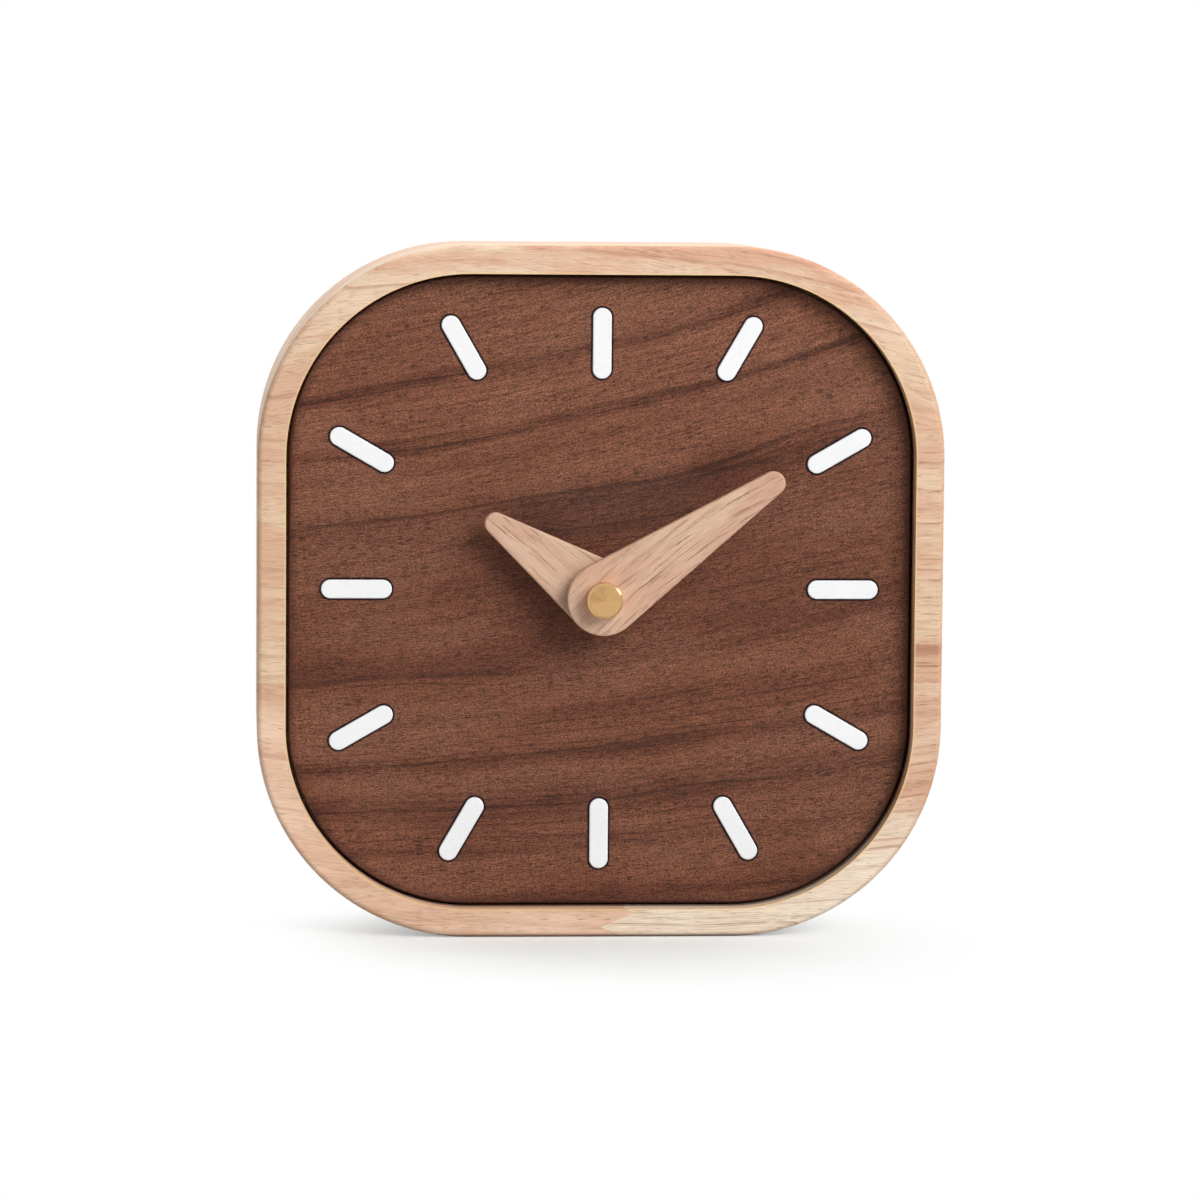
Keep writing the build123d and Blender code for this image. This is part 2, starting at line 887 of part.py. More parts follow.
def train_wheel(place, pinion, wheel, arbor_front):
    """A wheel and its pinion on one thin arbor, each given as tooth number,
    module, first tooth and the depths of its two faces."""
    shape = rod(place, arbor_radius, arbor_front, plate_back - bearing_plate_gap)
    pinion_number, pinion_module, pinion_first, pinion_front, pinion_back = pinion
    wheel_number, wheel_module, wheel_first, front, back = wheel
    shape += gear(
        place,
        pinion_number,
        pinion_module,
        pinion_first,
        pinion_tooth_shares,
        pinion_front,
        pinion_back,
    )
    shape += gear(
        place, wheel_number, wheel_module, wheel_first, wheel_tooth_shares, front, back
    )
    return shape


def third_wheel():
    pinion_front = works_front + centre_wheel_depth - pinion_extra
    front = works_front + third_wheel_depth
    pinion = (
        third_pinion_teeth, centre_module, third_pinion_first, pinion_front, front
    )
    wheel = (third_teeth, third_module, third_first, front, front + wheel_thickness)
    return train_wheel(third_axis, pinion, wheel, works_front + pivot_clearance)


def intermediate_wheel():
    pinion_front = works_front + seconds_wheel_depth - pinion_extra
    front = works_front + intermediate_wheel_depth
    pinion = (
        intermediate_pinion_teeth,
        seconds_module,
        intermediate_pinion_first,
        pinion_front,
        front,
    )
    wheel = (
        intermediate_teeth, rotor_module, intermediate_first, front, front + wheel_thickness
    )
    return train_wheel(intermediate_axis, pinion, wheel, works_front + pivot_clearance)


def setting_knob():
    wheel_front = works_front + motion_wheel_depth
    front = wheel_front - pinion_extra
    back = wheel_front + wheel_thickness + pinion_extra
    disc_front = movement_back + knob_gap
    disc_back = disc_front + knob_height
    pivot_front = works_front + running_clearance
    knob = rod(knob_axis, knob_pivot_radius, pivot_front, front)
    knob += gear(
        knob_axis, knob_teeth, cannon_module, knob_first, pinion_tooth_shares, front, back
    )
    knob += rod(knob_axis, knob_shaft_radius, back, disc_front)
    disc = rod(knob_axis, knob_radius, disc_front, disc_back)
    disc = chamfer(back_edges(disc), knob_edge_bevel)
    for number in range(knob_flutes):
        place = step_from(knob_axis, knob_radius, number * 360 / knob_flutes)
        disc -= rod(place, knob_flute_radius, disc_front - overrun, disc_back + overrun)
    return knob + disc


# Motor

def magnet_front():
    return (stator_front + stator_back - magnet_length) / 2


def rotor_magnet():
    front = magnet_front()
    magnet = rod(rotor_axis, magnet_radius, front, front + magnet_length)
    return magnet - rod(
        rotor_axis, arbor_radius, front - overrun, front + magnet_length + overrun
    )


def rotor_arbor():
    wheel_front = works_front + intermediate_wheel_depth
    arbor_front = works_front + pivot_clearance
    arbor = rod(rotor_axis, arbor_radius, arbor_front, plate_back - bearing_plate_gap)
    return arbor + gear(
        rotor_axis,
        rotor_teeth,
        rotor_module,
        rotor_first,
        pinion_tooth_shares,
        wheel_front - pinion_extra,
        wheel_front + wheel_thickness + pinion_extra,
    )


def stator_plates():
    """Two steel plates that carry the coil's field round the rotor."""
    hole_radius = magnet_radius + magnet_air_gap
    left_end, right_end = core_pin_places()
    rotor_x, rotor_z = rotor_axis
    top = core_height + core_width / 2
    left_x = left_end[0] - core_width / 2
    low = rotor_z - stator_width / 2
    high = rotor_z + stator_width / 2
    both = rod(rotor_axis, stator_ring_radius, stator_front, stator_back)
    both += box_between(left_x, rotor_x, stator_front, stator_back, low, high)
    both += box_between(left_x, left_x + core_width, stator_front, stator_back, low, top)
    both += box_between(
        rotor_x, core_end_x, stator_front, stator_back, rotor_z, top
    )
    both -= rod(rotor_axis, hole_radius, stator_front - overrun, stator_back + overrun)
    both -= box_between(
        rotor_x - stator_slot / 2,
        rotor_x + stator_slot / 2,
        stator_front - overrun,
        stator_back + overrun,
        -case_height,
        case_height,
    )
    for place in (left_end, right_end, pillar_places[2]):
        hole = core_pin_radius + thread_clearance
        both -= rod(place, hole, stator_front - overrun, stator_back + overrun)
    halves = both.solids().sort_by(Axis.X)
    return {"stator_left": halves[0], "stator_right": halves[-1]}


def coil_core():
    left_end, right_end = core_pin_places()
    core = box_between(
        left_end[0] - core_width / 2,
        right_end[0] + core_width / 2,
        stator_back,
        core_back,
        core_height - core_width / 2,
        core_height + core_width / 2,
    )
    for place in (left_end, right_end):
        hole = core_pin_radius + thread_clearance
        core -= rod(place, hole, stator_back - overrun, core_back + overrun)
    return core


def coil_tube(radius, low_x, high_x):
    """A round bar along X on the coil's axis."""
    place = Plane(
        origin=(low_x, coil_axis_y, hub_height + core_height), x_dir=(0, 1, 0), z_dir=(1, 0, 0)
    )
    return extrude(place * Circle(radius), amount=high_x - low_x)


def bobbin_tube_radius():
    return math.hypot(core_width, plate_thickness) / 2 + bobbin_tube_wall


def bobbin_ends():
    """The bobbin fills the core between the left stator arm and the right ring."""
    left_arm_end = core_pin_places()[0][0] + core_width / 2
    return left_arm_end + bobbin_gap, stator_ring_left - bobbin_gap


def coil_bobbin():
    left, right = bobbin_ends()
    bobbin = coil_tube(bobbin_tube_radius(), left, right)
    bobbin += coil_tube(bobbin_flange_radius, left, left + bobbin_flange_thickness)
    bobbin += coil_tube(bobbin_flange_radius, right - bobbin_flange_thickness, right)
    return bobbin - box_between(
        left - overrun,
        right + overrun,
        stator_back,
        core_back,
        core_height - core_width / 2,
        core_height + core_width / 2,
    )


def coil_winding():
    left, right = bobbin_ends()
    left += bobbin_flange_thickness
    right -= bobbin_flange_thickness
    winding = coil_tube(winding_radius, left, right)
    return winding - coil_tube(bobbin_tube_radius(), left - overrun, right + overrun)


# Circuit

def circuit_board():
    return box_between(board_left, board_right, board_front, board_back, board_bottom, board_top)


def timing_chip():
    x = (board_left + board_right) / 2
    half = chip_side / 2
    chip = box_between(
        x - half,
        x + half,
        board_back,
        board_back + chip_height,
        chip_bottom,
        chip_bottom + chip_side,
    )
    return chamfer(back_edges(chip), chip_edge_bevel)


def quartz_crystal():
    place = Plane(
        origin=(
            (board_left + board_right) / 2,
            board_back + crystal_radius,
            hub_height + crystal_bottom,
        ),
        x_dir=(1, 0, 0),
        z_dir=(0, 0, 1),
    )
    can = extrude(place * Circle(crystal_radius), amount=crystal_length)
    for side in (-1, 1):
        lead = Pos(side * crystal_lead_spacing / 2, 0) * Circle(crystal_lead_radius)
        can += extrude(place * lead, amount=-crystal_lead_length)
    return can


# Battery and contacts

def battery_ends():
    """The battery's flat end, the shoulder of its nub end and the nub's tip."""
    nub_tip = half_width_inside - contact_wall_gap - contact_thickness - contact_gap
    shoulder = nub_tip - battery_nub_length
    return shoulder - battery_body_length, shoulder, nub_tip


def battery():
    flat_end, shoulder, nub_tip = battery_ends()
    place = Plane(
        origin=(flat_end, battery_axis_y, hub_height + battery_axis_z),
        x_dir=(0, 1, 0),
        z_dir=(1, 0, 0),
    )
    body = extrude(place * Circle(battery_radius), amount=battery_body_length)
    body = fillet(body.edges().filter_by(GeomType.CIRCLE), battery_edge_round)
    return body + extrude(place * Circle(battery_nub_radius), amount=nub_tip - flat_end)


def contact_depths():
    """The two edges of the contact strips, from the battery back to the board."""
    return battery_axis_y - contact_width / 2, board_back + contact_thickness


def contact_positive():
    """A flat plate at the nub, with a strip along the partition to the board."""
    front, back = contact_depths()
    outer = half_width_inside - contact_wall_gap
    inner = outer - contact_thickness
    strip_top = partition_top + contact_wall_gap + contact_thickness
    strip_low = partition_top + contact_wall_gap
    plate = box_between(
        inner, outer, front, back, battery_axis_z - contact_reach, strip_top
    )
    plate += box_between(board_right - contact_tongue, outer, front, back, strip_low, strip_top)
    return plate + box_between(
        board_right - contact_tongue,
        board_right,
        board_back,
        board_back + contact_thickness,
        strip_low,
        board_bottom + contact_tongue / 2,
    )


def contact_negative():
    """A plate with a bowed leaf that presses on the battery's flat end."""
    front, back = contact_depths()
    outer = -half_width_inside + contact_wall_gap
    inner = outer + contact_thickness
    leaf_x = battery_ends()[0] - contact_gap
    plate = box_between(
        outer,
        inner,
        front,
        back,
        battery_axis_z - contact_reach,
        board_bottom + contact_tongue,
    )
    plate += box_between(
        outer,
        inner + contact_tongue,
        board_back,
        board_back + contact_thickness,
        board_bottom + contact_tongue / 2,
        board_bottom + contact_tongue,
    )
    bow = [
        (inner, -leaf_half_height),
        (leaf_x, -leaf_tip_half),
        (leaf_x, leaf_tip_half),
        (inner, leaf_half_height),
        (inner, leaf_half_height - 2 * contact_thickness),
        (leaf_x - contact_thickness, leaf_tip_half - contact_thickness / 2),
        (leaf_x - contact_thickness, contact_thickness / 2 - leaf_tip_half),
        (inner, 2 * contact_thickness - leaf_half_height),
    ]
    leaf_back = battery_axis_y + contact_width / 2
    leaf = slab(Pos(0, battery_axis_z) * Polygon(*bow, align=None), front, leaf_back)
    return plate + leaf


# Build every piece and write it out

pieces = {}
pieces.update(case_staves())
pieces["dial_board"] = dial_board()
for hour in range(1, 13):
    pieces[f"hour_bar_{hour:02d}"] = hour_bar(hour)
pieces["hour_hand"] = hand(
    hour_hand_reach, hour_tip_radius, hour_hand_angle, hour_hand_height, hour_tube_radius
)
pieces["minute_hand"] = hand(
    minute_hand_reach,
    minute_tip_radius,
    minute_hand_angle,
    minute_hand_height,
    minute_neck_radius,
)
pieces["cap_nut"] = cap_nut()
pieces["fixing_washer"] = fixing_washer()
pieces["fixing_nut"] = fixing_nut()
pieces["rubber_gasket"] = rubber_gasket()
pieces["movement_front_case"] = movement_front_case()
pieces["movement_rear_case"] = movement_rear_case()
pieces["bearing_plate"] = bearing_plate()
pieces["hour_wheel"] = hour_wheel()
pieces["minute_arbor"] = minute_arbor()
pieces["centre_wheel"] = centre_wheel()
pieces["seconds_wheel"] = seconds_wheel()
pieces["motion_wheel"] = motion_wheel()
pieces["third_wheel"] = third_wheel()
pieces["intermediate_wheel"] = intermediate_wheel()
pieces["setting_knob"] = setting_knob()
pieces["rotor_magnet"] = rotor_magnet()
pieces["rotor_arbor"] = rotor_arbor()
pieces.update(stator_plates())
pieces["coil_core"] = coil_core()
pieces["coil_bobbin"] = coil_bobbin()
pieces["coil_winding"] = coil_winding()
pieces["circuit_board"] = circuit_board()
pieces["timing_chip"] = timing_chip()
pieces["quartz_crystal"] = quartz_crystal()
pieces["battery"] = battery()
pieces["contact_positive"] = contact_positive()
pieces["contact_negative"] = contact_negative()

os.makedirs("parts", exist_ok=True)
for name, piece in pieces.items():
    export_step(piece, f"parts/{name}.step")
    print(name, len(piece.solids()))
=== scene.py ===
# %% [markdown]
# # A small wooden desk clock
#
# The clock is a rounded square ring of pale hardwood with a walnut dial set into its
# front. Twelve white acrylic bars mark the hours, and two pale wooden hands turn under
# a brass cap. Behind the dial sits a plain black quartz movement with one AA cell.
#
# The pieces themselves come from the CAD model, already in their places. This lesson
# gives every piece its finish, and then sets up the light and the camera. All finishes
# are made of shader nodes, so that they hold at any distance and carry no pictures.

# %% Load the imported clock
import json
import math

import bpy
from mathutils import Matrix, Vector

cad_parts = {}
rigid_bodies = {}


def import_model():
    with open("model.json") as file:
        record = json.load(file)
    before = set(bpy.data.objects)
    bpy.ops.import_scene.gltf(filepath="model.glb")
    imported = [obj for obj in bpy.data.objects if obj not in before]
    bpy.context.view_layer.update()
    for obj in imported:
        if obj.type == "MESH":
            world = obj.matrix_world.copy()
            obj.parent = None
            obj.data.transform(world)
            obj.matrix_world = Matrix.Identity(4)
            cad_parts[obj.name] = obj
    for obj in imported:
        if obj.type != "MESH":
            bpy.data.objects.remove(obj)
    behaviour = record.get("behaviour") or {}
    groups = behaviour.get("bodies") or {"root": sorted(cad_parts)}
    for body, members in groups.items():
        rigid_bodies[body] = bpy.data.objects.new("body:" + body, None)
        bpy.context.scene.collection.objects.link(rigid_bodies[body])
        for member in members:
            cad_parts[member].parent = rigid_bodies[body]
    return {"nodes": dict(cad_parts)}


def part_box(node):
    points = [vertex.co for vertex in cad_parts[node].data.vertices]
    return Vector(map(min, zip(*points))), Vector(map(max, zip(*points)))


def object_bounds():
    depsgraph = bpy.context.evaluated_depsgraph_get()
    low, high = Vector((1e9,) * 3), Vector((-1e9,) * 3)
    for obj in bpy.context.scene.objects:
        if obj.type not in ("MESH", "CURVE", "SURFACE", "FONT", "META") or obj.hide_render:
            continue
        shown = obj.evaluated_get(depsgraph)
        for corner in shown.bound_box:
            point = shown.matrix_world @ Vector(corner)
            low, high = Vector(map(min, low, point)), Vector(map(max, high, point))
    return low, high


for leftover in list(bpy.data.objects):
    bpy.data.objects.remove(leftover)
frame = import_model()
pieces = frame["nodes"]
cad_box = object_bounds()
print(len(pieces), "pieces, from", tuple(cad_box[0]), "to", tuple(cad_box[1]))

# %% [markdown]
# ## Small tools for building node trees
#
# A node tree can be drawn by hand in the shader editor or written in Python. Written
# out, a wood with a hundred nodes gets long, so a few helpers come first. The main one
# is the Wire, which stands for what comes out of a node. Two wires can be added,
# multiplied and so on like numbers, and each sum adds its own Math node. The other
# helpers wrap the nodes that come back again and again. They take wires or plain values
# and give a wire, so that they nest like sums on paper.

# %% Nodes and the wires between them
def add_node(tree, kind, **settings):
    """A new node, laid out in columns of six so that the tree can be read on screen."""
    node = tree.nodes.new(kind)
    count = len(tree.nodes)
    node.location = (count // 6 * 220, -(count % 6) * 280)
    for name, value in settings.items():
        setattr(node, name, value)
    return node


def maths(operation, *values):
    return wire_from("ShaderNodeMath", dict(enumerate(values)), operation=operation)


class Wire:
    """What comes out of a node. It does sums like a number."""

    def __init__(self, socket):
        self.socket = socket
        self.tree = socket.id_data

    def __add__(self, other):
        return maths("ADD", self, other)

    def __sub__(self, other):
        return maths("SUBTRACT", self, other)

    def __mul__(self, other):
        return maths("MULTIPLY", self, other)

    def __truediv__(self, other):
        return maths("DIVIDE", self, other)

    def __rtruediv__(self, number):
        return maths("DIVIDE", number, self)


def wires_of(node):
    """All that comes out of a node, by name."""
    return {output.name: Wire(output) for output in node.outputs}


def plug(socket, value):
    """A link if the value is a wire, and a plain value otherwise."""
    if isinstance(value, Wire):
        value.tree.links.new(value.socket, socket)
    else:
        socket.default_value = value


def fed_node(kind, sockets, **settings):
    """A new node with its sockets plugged, in the tree of the first wire among them."""
    tree = next(value.tree for value in sockets.values() if isinstance(value, Wire))
    node = add_node(tree, kind, **settings)
    for key, value in sockets.items():
        plug(node.inputs[key], value)
    return node


def wire_from(kind, sockets, output=0, **settings):
    """The same, but gives the wire from one of its outputs."""
    return Wire(fed_node(kind, sockets, **settings).outputs[output])


# %% Steps, mixes and noises
def step(value, low, high, before=0.0, after=1.0):
    """A soft step: one value below low, the other above high."""
    sockets = {"Value": value, "From Min": low, "From Max": high, "To Min": before, "To Max": after}
    return wire_from("ShaderNodeMapRange", sockets, "Result", interpolation_type="SMOOTHSTEP")


def mix(share, first, second, method="MIX"):
    sockets = {0: share, 6: first, 7: second}
    return wire_from("ShaderNodeMix", sockets, 2, data_type="RGBA", blend_type=method)


def noise(place, detail=2.0, roughness=0.5):
    """Cloudy noise with features one unit wide, so the place is scaled before it."""
    sockets = {"Vector": place, "Scale": 1.0, "Detail": detail, "Roughness": roughness}
    return wire_from("ShaderNodeTexNoise", sockets, noise_dimensions="3D")


def line_noise(value, detail=1.0):
    """Noise along one line, for things that change only from ring to ring."""
    sockets = {"W": value, "Scale": 1.0, "Detail": detail}
    return wire_from("ShaderNodeTexNoise", sockets, noise_dimensions="1D")


# %% Places and vectors
def vector(operation, first, second=(0.0, 0.0, 0.0)):
    output = "Value" if operation in ("LENGTH", "DOT_PRODUCT") else "Vector"
    return wire_from("ShaderNodeVectorMath", {0: first, 1: second}, output, operation=operation)


def stretch(place, x, y, z):
    return vector("MULTIPLY", place, (x, y, z))


def turned(place, middle, angle):
    """The place turned about a line through the middle, from the front to the back."""
    sockets = {"Vector": place, "Center": middle, "Angle": angle}
    return wire_from("ShaderNodeVectorRotate", sockets, rotation_type="Y_AXIS")


def split(place):
    return wires_of(fed_node("ShaderNodeSeparateXYZ", {0: place})).values()


def join(x, y, z):
    return wire_from("ShaderNodeCombineXYZ", {0: x, 1: y, 2: z})


def place_in_mm(tree):
    """Each piece's own place in millimetres, which turns with the piece."""
    where = wires_of(add_node(tree, "ShaderNodeTexCoord"))
    return stretch(where["Object"], 1000.0, 1000.0, 1000.0)


# %% Colours
def paint(red, green, blue):
    """A colour judged on a screen, 0 to 255, as the shader's linear colour."""

    def linear(channel):
        share = channel / 255
        return share / 12.92 if share <= 0.04045 else ((share + 0.055) / 1.055) ** 2.4

    return (linear(red), linear(green), linear(blue), 1.0)


def ramp(value, *stops):
    """Blends from colour to colour as the value passes each stop."""
    node = fed_node("ShaderNodeValToRGB", {0: value})
    elements = node.color_ramp.elements
    elements[0].position, elements[0].color = stops[0]
    elements[1].position, elements[1].color = stops[-1]
    for position, colour in stops[1:-1]:
        elements.new(position).color = colour
    return Wire(node.outputs[0])


def shaded(colour, light):
    """The colour times a number, which darkens it below 1 and lightens it above."""
    return mix(1.0, colour, join(light, light, light), "MULTIPLY")


print("helpers ready")

# %% [markdown]
# ## Shared effects as node groups
#
# Real wood looks alike in every piece because it grew the same way, so the effects that
# make it are built once, as node groups with named inputs. A material then places a
# group and gives it its own numbers. The groups put out only masks and values that
# change over the surface. The shader itself stays in each material.

# %% Start a node group with named sockets
def new_effect(name, inputs, outputs):
    """An empty group. Inputs with no starting value are vectors."""
    group = bpy.data.node_groups.new(name, "ShaderNodeTree")
    for label, start in inputs.items():
        kind = "NodeSocketVector" if start is None else "NodeSocketFloat"
        socket = group.interface.new_socket(label, in_out="INPUT", socket_type=kind)
        if start is not None:
            socket.default_value = start
    for label, kind in outputs.items():
        group.interface.new_socket(label, in_out="OUTPUT", socket_type="NodeSocket" + kind)
    given = wires_of(add_node(group, "NodeGroupInput"))
    gives = add_node(group, "NodeGroupOutput").inputs
    return group, given, gives


def place_effect(group, **values):
    """The group placed in a material. An underscore in a name stands for a space."""
    sockets = {label.replace("_", " "): value for label, value in values.items()}
    return wires_of(fed_node("ShaderNodeGroup", sockets, node_tree=group))


# %% [markdown]
# ### The directions of a board
#
# Wood has a direction. Everything in it is long along the grain and short across it.
# The first group turns a place on the clock into a place in the board: X along the
# grain, Y into the board, Z across. A bow bends the grain like a hill, a fan spreads it
# to one side, and a slow noise makes it wander, because no tree grows straight.

# %% Group: board directions
def make_board_directions():
    group, given, gives = new_effect(
        "board directions",
        {
            "Place": None, "Middle": None, "Grain angle": 0.0, "Bow": 0.0, "Fan": 0.0,
            "Wander": 1.0, "Wander length": 40.0, "Seed": 0.0,
        },
        {"Board place": "Vector"},
    )
    turn = turned(given["Place"], given["Middle"], given["Grain angle"])
    along, deep, across = split(vector("SUBTRACT", turn, given["Middle"]))
    bend = along * along * given["Bow"]
    spread = along * across * given["Fan"]
    across = across + bend - spread
    length = given["Wander length"]
    thickness = length * 0.35
    seed = given["Seed"] * 17.3
    drift = noise(join(along / length + seed, deep / thickness, across / thickness), detail=1.5)
    drift = (drift - 0.5) * given["Wander"]
    across = across + drift * 2.0
    along = along + given["Seed"] * 131.0
    plug(gives["Board place"], join(along, deep, across))
    return group


board_directions = make_board_directions()
print(board_directions.name, len(board_directions.nodes), "nodes")

# %% [markdown]
# ### Growth rings
#
# A board is sawn from a trunk, so its rings are parts of circles round a pith that lies
# somewhere outside the board. The distance from that pith, cut into rings of uneven
# width, gives straight lines on one face, cathedral arches on another and curved bars
# on the end grain, all from one rule. Each ring fades in slowly and ends sharply, the
# way late wood does.

# %% Group: growth rings
def make_growth_rings():
    group, given, gives = new_effect(
        "growth rings",
        {
            "Board place": None, "Pith deep": 60.0, "Pith across": -80.0, "Ring width": 2.0,
            "Unevenness": 1.5, "Early wood": 0.5, "Seed": 0.0,
        },
        {"Line": "Float", "Zone": "Float"},
    )
    _, deep, across = split(given["Board place"])
    from_pith = join(0.0, deep - given["Pith deep"], across - given["Pith across"])
    growth = vector("LENGTH", from_pith)
    swell = noise(stretch(given["Board place"], 0.018, 0.09, 0.09))
    swell = (swell - 0.5) * given["Unevenness"]
    rings = (growth + swell * 2.0) / given["Ring width"]
    rings = rings + given["Seed"] * 37.0
    uneven = rings + line_noise(rings * 0.45) * 2.6
    year = {"W": maths("FLOOR", uneven)}
    strength = wire_from("ShaderNodeTexWhiteNoise", year, "Value", noise_dimensions="1D")
    strength = step(strength, 0.0, 1.0, 0.15, 1.0)
    part = maths("FRACT", uneven)
    rise = step(part, given["Early wood"], 0.9)
    fall = step(part, 0.92, 1.0, 1.0, 0.0)
    plug(gives["Line"], rise * fall * strength)
    plug(gives["Zone"], line_noise(rings * 0.21))
    return group


growth_rings = make_growth_rings()
print(growth_rings.name, len(growth_rings.nodes), "nodes")

# %% [markdown]
# ### Pores and fibres
#
# Close up, hardwood is a bundle of fine tubes. The larger ones are cut open by the
# plane and show as short dark dashes, crowded in some years and rare in others. The
# rest give a silky fibre. Both are noise stretched along the board, and on the end
# grain the same noise turns into dots by itself.

# %% Group: open pores
def make_open_pores():
    group, given, gives = new_effect(
        "open pores",
        {
            "Board place": None, "Length": 3.0, "Width": 0.15, "Sparseness": 0.64,
            "Stream length": 30.0, "Stream width": 3.0, "Crowding": 0.3,
        },
        {"Pore": "Float"},
    )
    along, deep, across = split(given["Board place"])
    length, width = given["Length"], given["Width"]
    tube = noise(join(along / length, deep / width, across / width), detail=0.0)
    length, width = given["Stream length"], given["Stream width"]
    stream = noise(join(along / length, deep / width, across / width))
    limit = given["Sparseness"] - (stream - 0.5) * given["Crowding"]
    plug(gives["Pore"], step(tube - limit, 0.0, 0.09))
    return group


open_pores = make_open_pores()


# %% Group: fine fibre
def make_fine_fibre():
    group, given, gives = new_effect(
        "fine fibre", {"Board place": None, "Thickness": 0.12}, {"Fibre": "Float"}
    )
    along, deep, across = split(given["Board place"])
    width = given["Thickness"]
    strands = join(along / (width * 30.0), deep / width, across / width)
    plug(gives["Fibre"], noise(strands, detail=3.0, roughness=0.65))
    return group


fine_fibre = make_fine_fibre()
print(open_pores.name, "and", fine_fibre.name)

# %% [markdown]
# ### Distance to a rounded outline
#
# Much of what happens to a piece happens near its edges: sanding, finish that gathers,
# char beside a laser cut. The ring, its opening and the hour bars are all rounded
# rectangles, so one group measures how far a place is from such an outline, in
# millimetres, less than zero inside. A mask from it follows the edge exactly.

# %% Group: rounded outline
def make_rounded_outline():
    group, given, gives = new_effect(
        "rounded outline",
        {
            "Place": None, "Middle": None, "Half width": 60.0, "Half height": 60.0,
            "Corner": 30.0, "Turn": 0.0,
        },
        {"Distance": "Float"},
    )
    turn = turned(given["Place"], given["Middle"], given["Turn"])
    x, _, z = split(vector("ABSOLUTE", vector("SUBTRACT", turn, given["Middle"])))
    past_side = x - (given["Half width"] - given["Corner"])
    past_top = z - (given["Half height"] - given["Corner"])
    corner = join(maths("MAXIMUM", past_side, 0.0), 0.0, maths("MAXIMUM", past_top, 0.0))
    inside = maths("MINIMUM", maths("MAXIMUM", past_side, past_top), 0.0)
    distance = vector("LENGTH", corner) + inside
    plug(gives["Distance"], distance - given["Corner"])
    return group


rounded_outline = make_rounded_outline()
print(rounded_outline.name)

# %% [markdown]
# ### Marks of moulding, turning and use
#
# Plastic comes out of a spark-eroded mould with an even fine skin. Metal keeps the
# rings of the lathe or the lines of the brush, and picks up hair scratches in the
# assembler's hands. One group makes the skin, one the rings and one the scratches.

# %% Group: moulded skin
def make_moulded_skin():
    group, given, gives = new_effect(
        "moulded skin", {"Place": None, "Grain": 0.25}, {"Skin": "Float", "Cloud": "Float"}
    )
    sockets = {0: given["Place"], "Scale": 1.0 / given["Grain"]}
    close = wire_from("ShaderNodeVectorMath", sockets, operation="SCALE")
    plug(gives["Skin"], noise(close, detail=3.0, roughness=0.7))
    far = stretch(given["Place"], 0.12, 0.12, 0.12)
    plug(gives["Cloud"], noise(far, detail=3.0))
    return group


moulded_skin = make_moulded_skin()


# %% Group: lathe rings
def make_lathe_rings():
    group, given, gives = new_effect(
        "lathe rings", {"Place": None, "Middle": None, "Feed": 0.08}, {"Ring": "Float"}
    )
    x, _, z = split(vector("SUBTRACT", given["Place"], given["Middle"]))
    radius = vector("LENGTH", join(x, 0.0, z))
    plug(gives["Ring"], line_noise(radius / given["Feed"], detail=2.0))
    return group


lathe_rings = make_lathe_rings()


# %% Group: hair scratches
def make_hair_scratches():
    group, given, gives = new_effect(
        "hair scratches", {"Place": None, "Thickness": 0.04, "Length": 3.0}, {"Scratch": "Float"}
    )
    deepest = None
    for angle in (0.35, 1.3, 2.35):
        x, y, z = split(turned(given["Place"], (0.0, 0.0, 0.0), angle))
        lines = join(x / given["Length"], y + angle * 9, z / given["Thickness"])
        cut = step(noise(lines, detail=0.0), 0.66, 0.78)
        deepest = cut if deepest is None else maths("MAXIMUM", deepest, cut)
    plug(gives["Scratch"], deepest)
    return group


hair_scratches = make_hair_scratches()
print(moulded_skin.name, lathe_rings.name, hair_scratches.name)

# %% [markdown]
# ## Start a material
#
# Each finish is one Principled shader with its own plain values. Only what changes over
# the surface is plugged into it: the colour, the roughness and the small relief that a
# Bump node turns into tilted light. Relief is given in millimetres.

# %% Start, dress and wear a material
def new_finish(name, **plain):
    """A material with one shader, and the place in millimetres on what wears it."""
    material = bpy.data.materials.new(name)
    material.use_nodes = True
    shader = material.node_tree.nodes["Principled BSDF"]
    for label, value in plain.items():
        shader.inputs[label.replace("_", " ")].default_value = value
    return material, place_in_mm(material.node_tree)


def dress(material, colour, roughness, height, depth_mm, strength, **more):
    """Plugs in what changes over the surface. A height of 1 stands depth_mm proud."""
    sockets = {"Height": height, "Distance": depth_mm / 1000, "Strength": strength}
    relief = wire_from("ShaderNodeBump", sockets)
    more.update({"Base Color": colour, "Roughness": roughness, "Normal": relief})
    for label, value in more.items():
        plug(material.node_tree.nodes["Principled BSDF"].inputs[label], value)
    return material


def wear(material, *names):
    """Gives the material to CAD pieces, in the slots of their own objects."""
    for name in names:
        piece = pieces[name]
        if not piece.data.materials:
            piece.data.materials.append(material)
        for slot in piece.material_slots:
            slot.material = material
    print(material.name, "on", ", ".join(names))
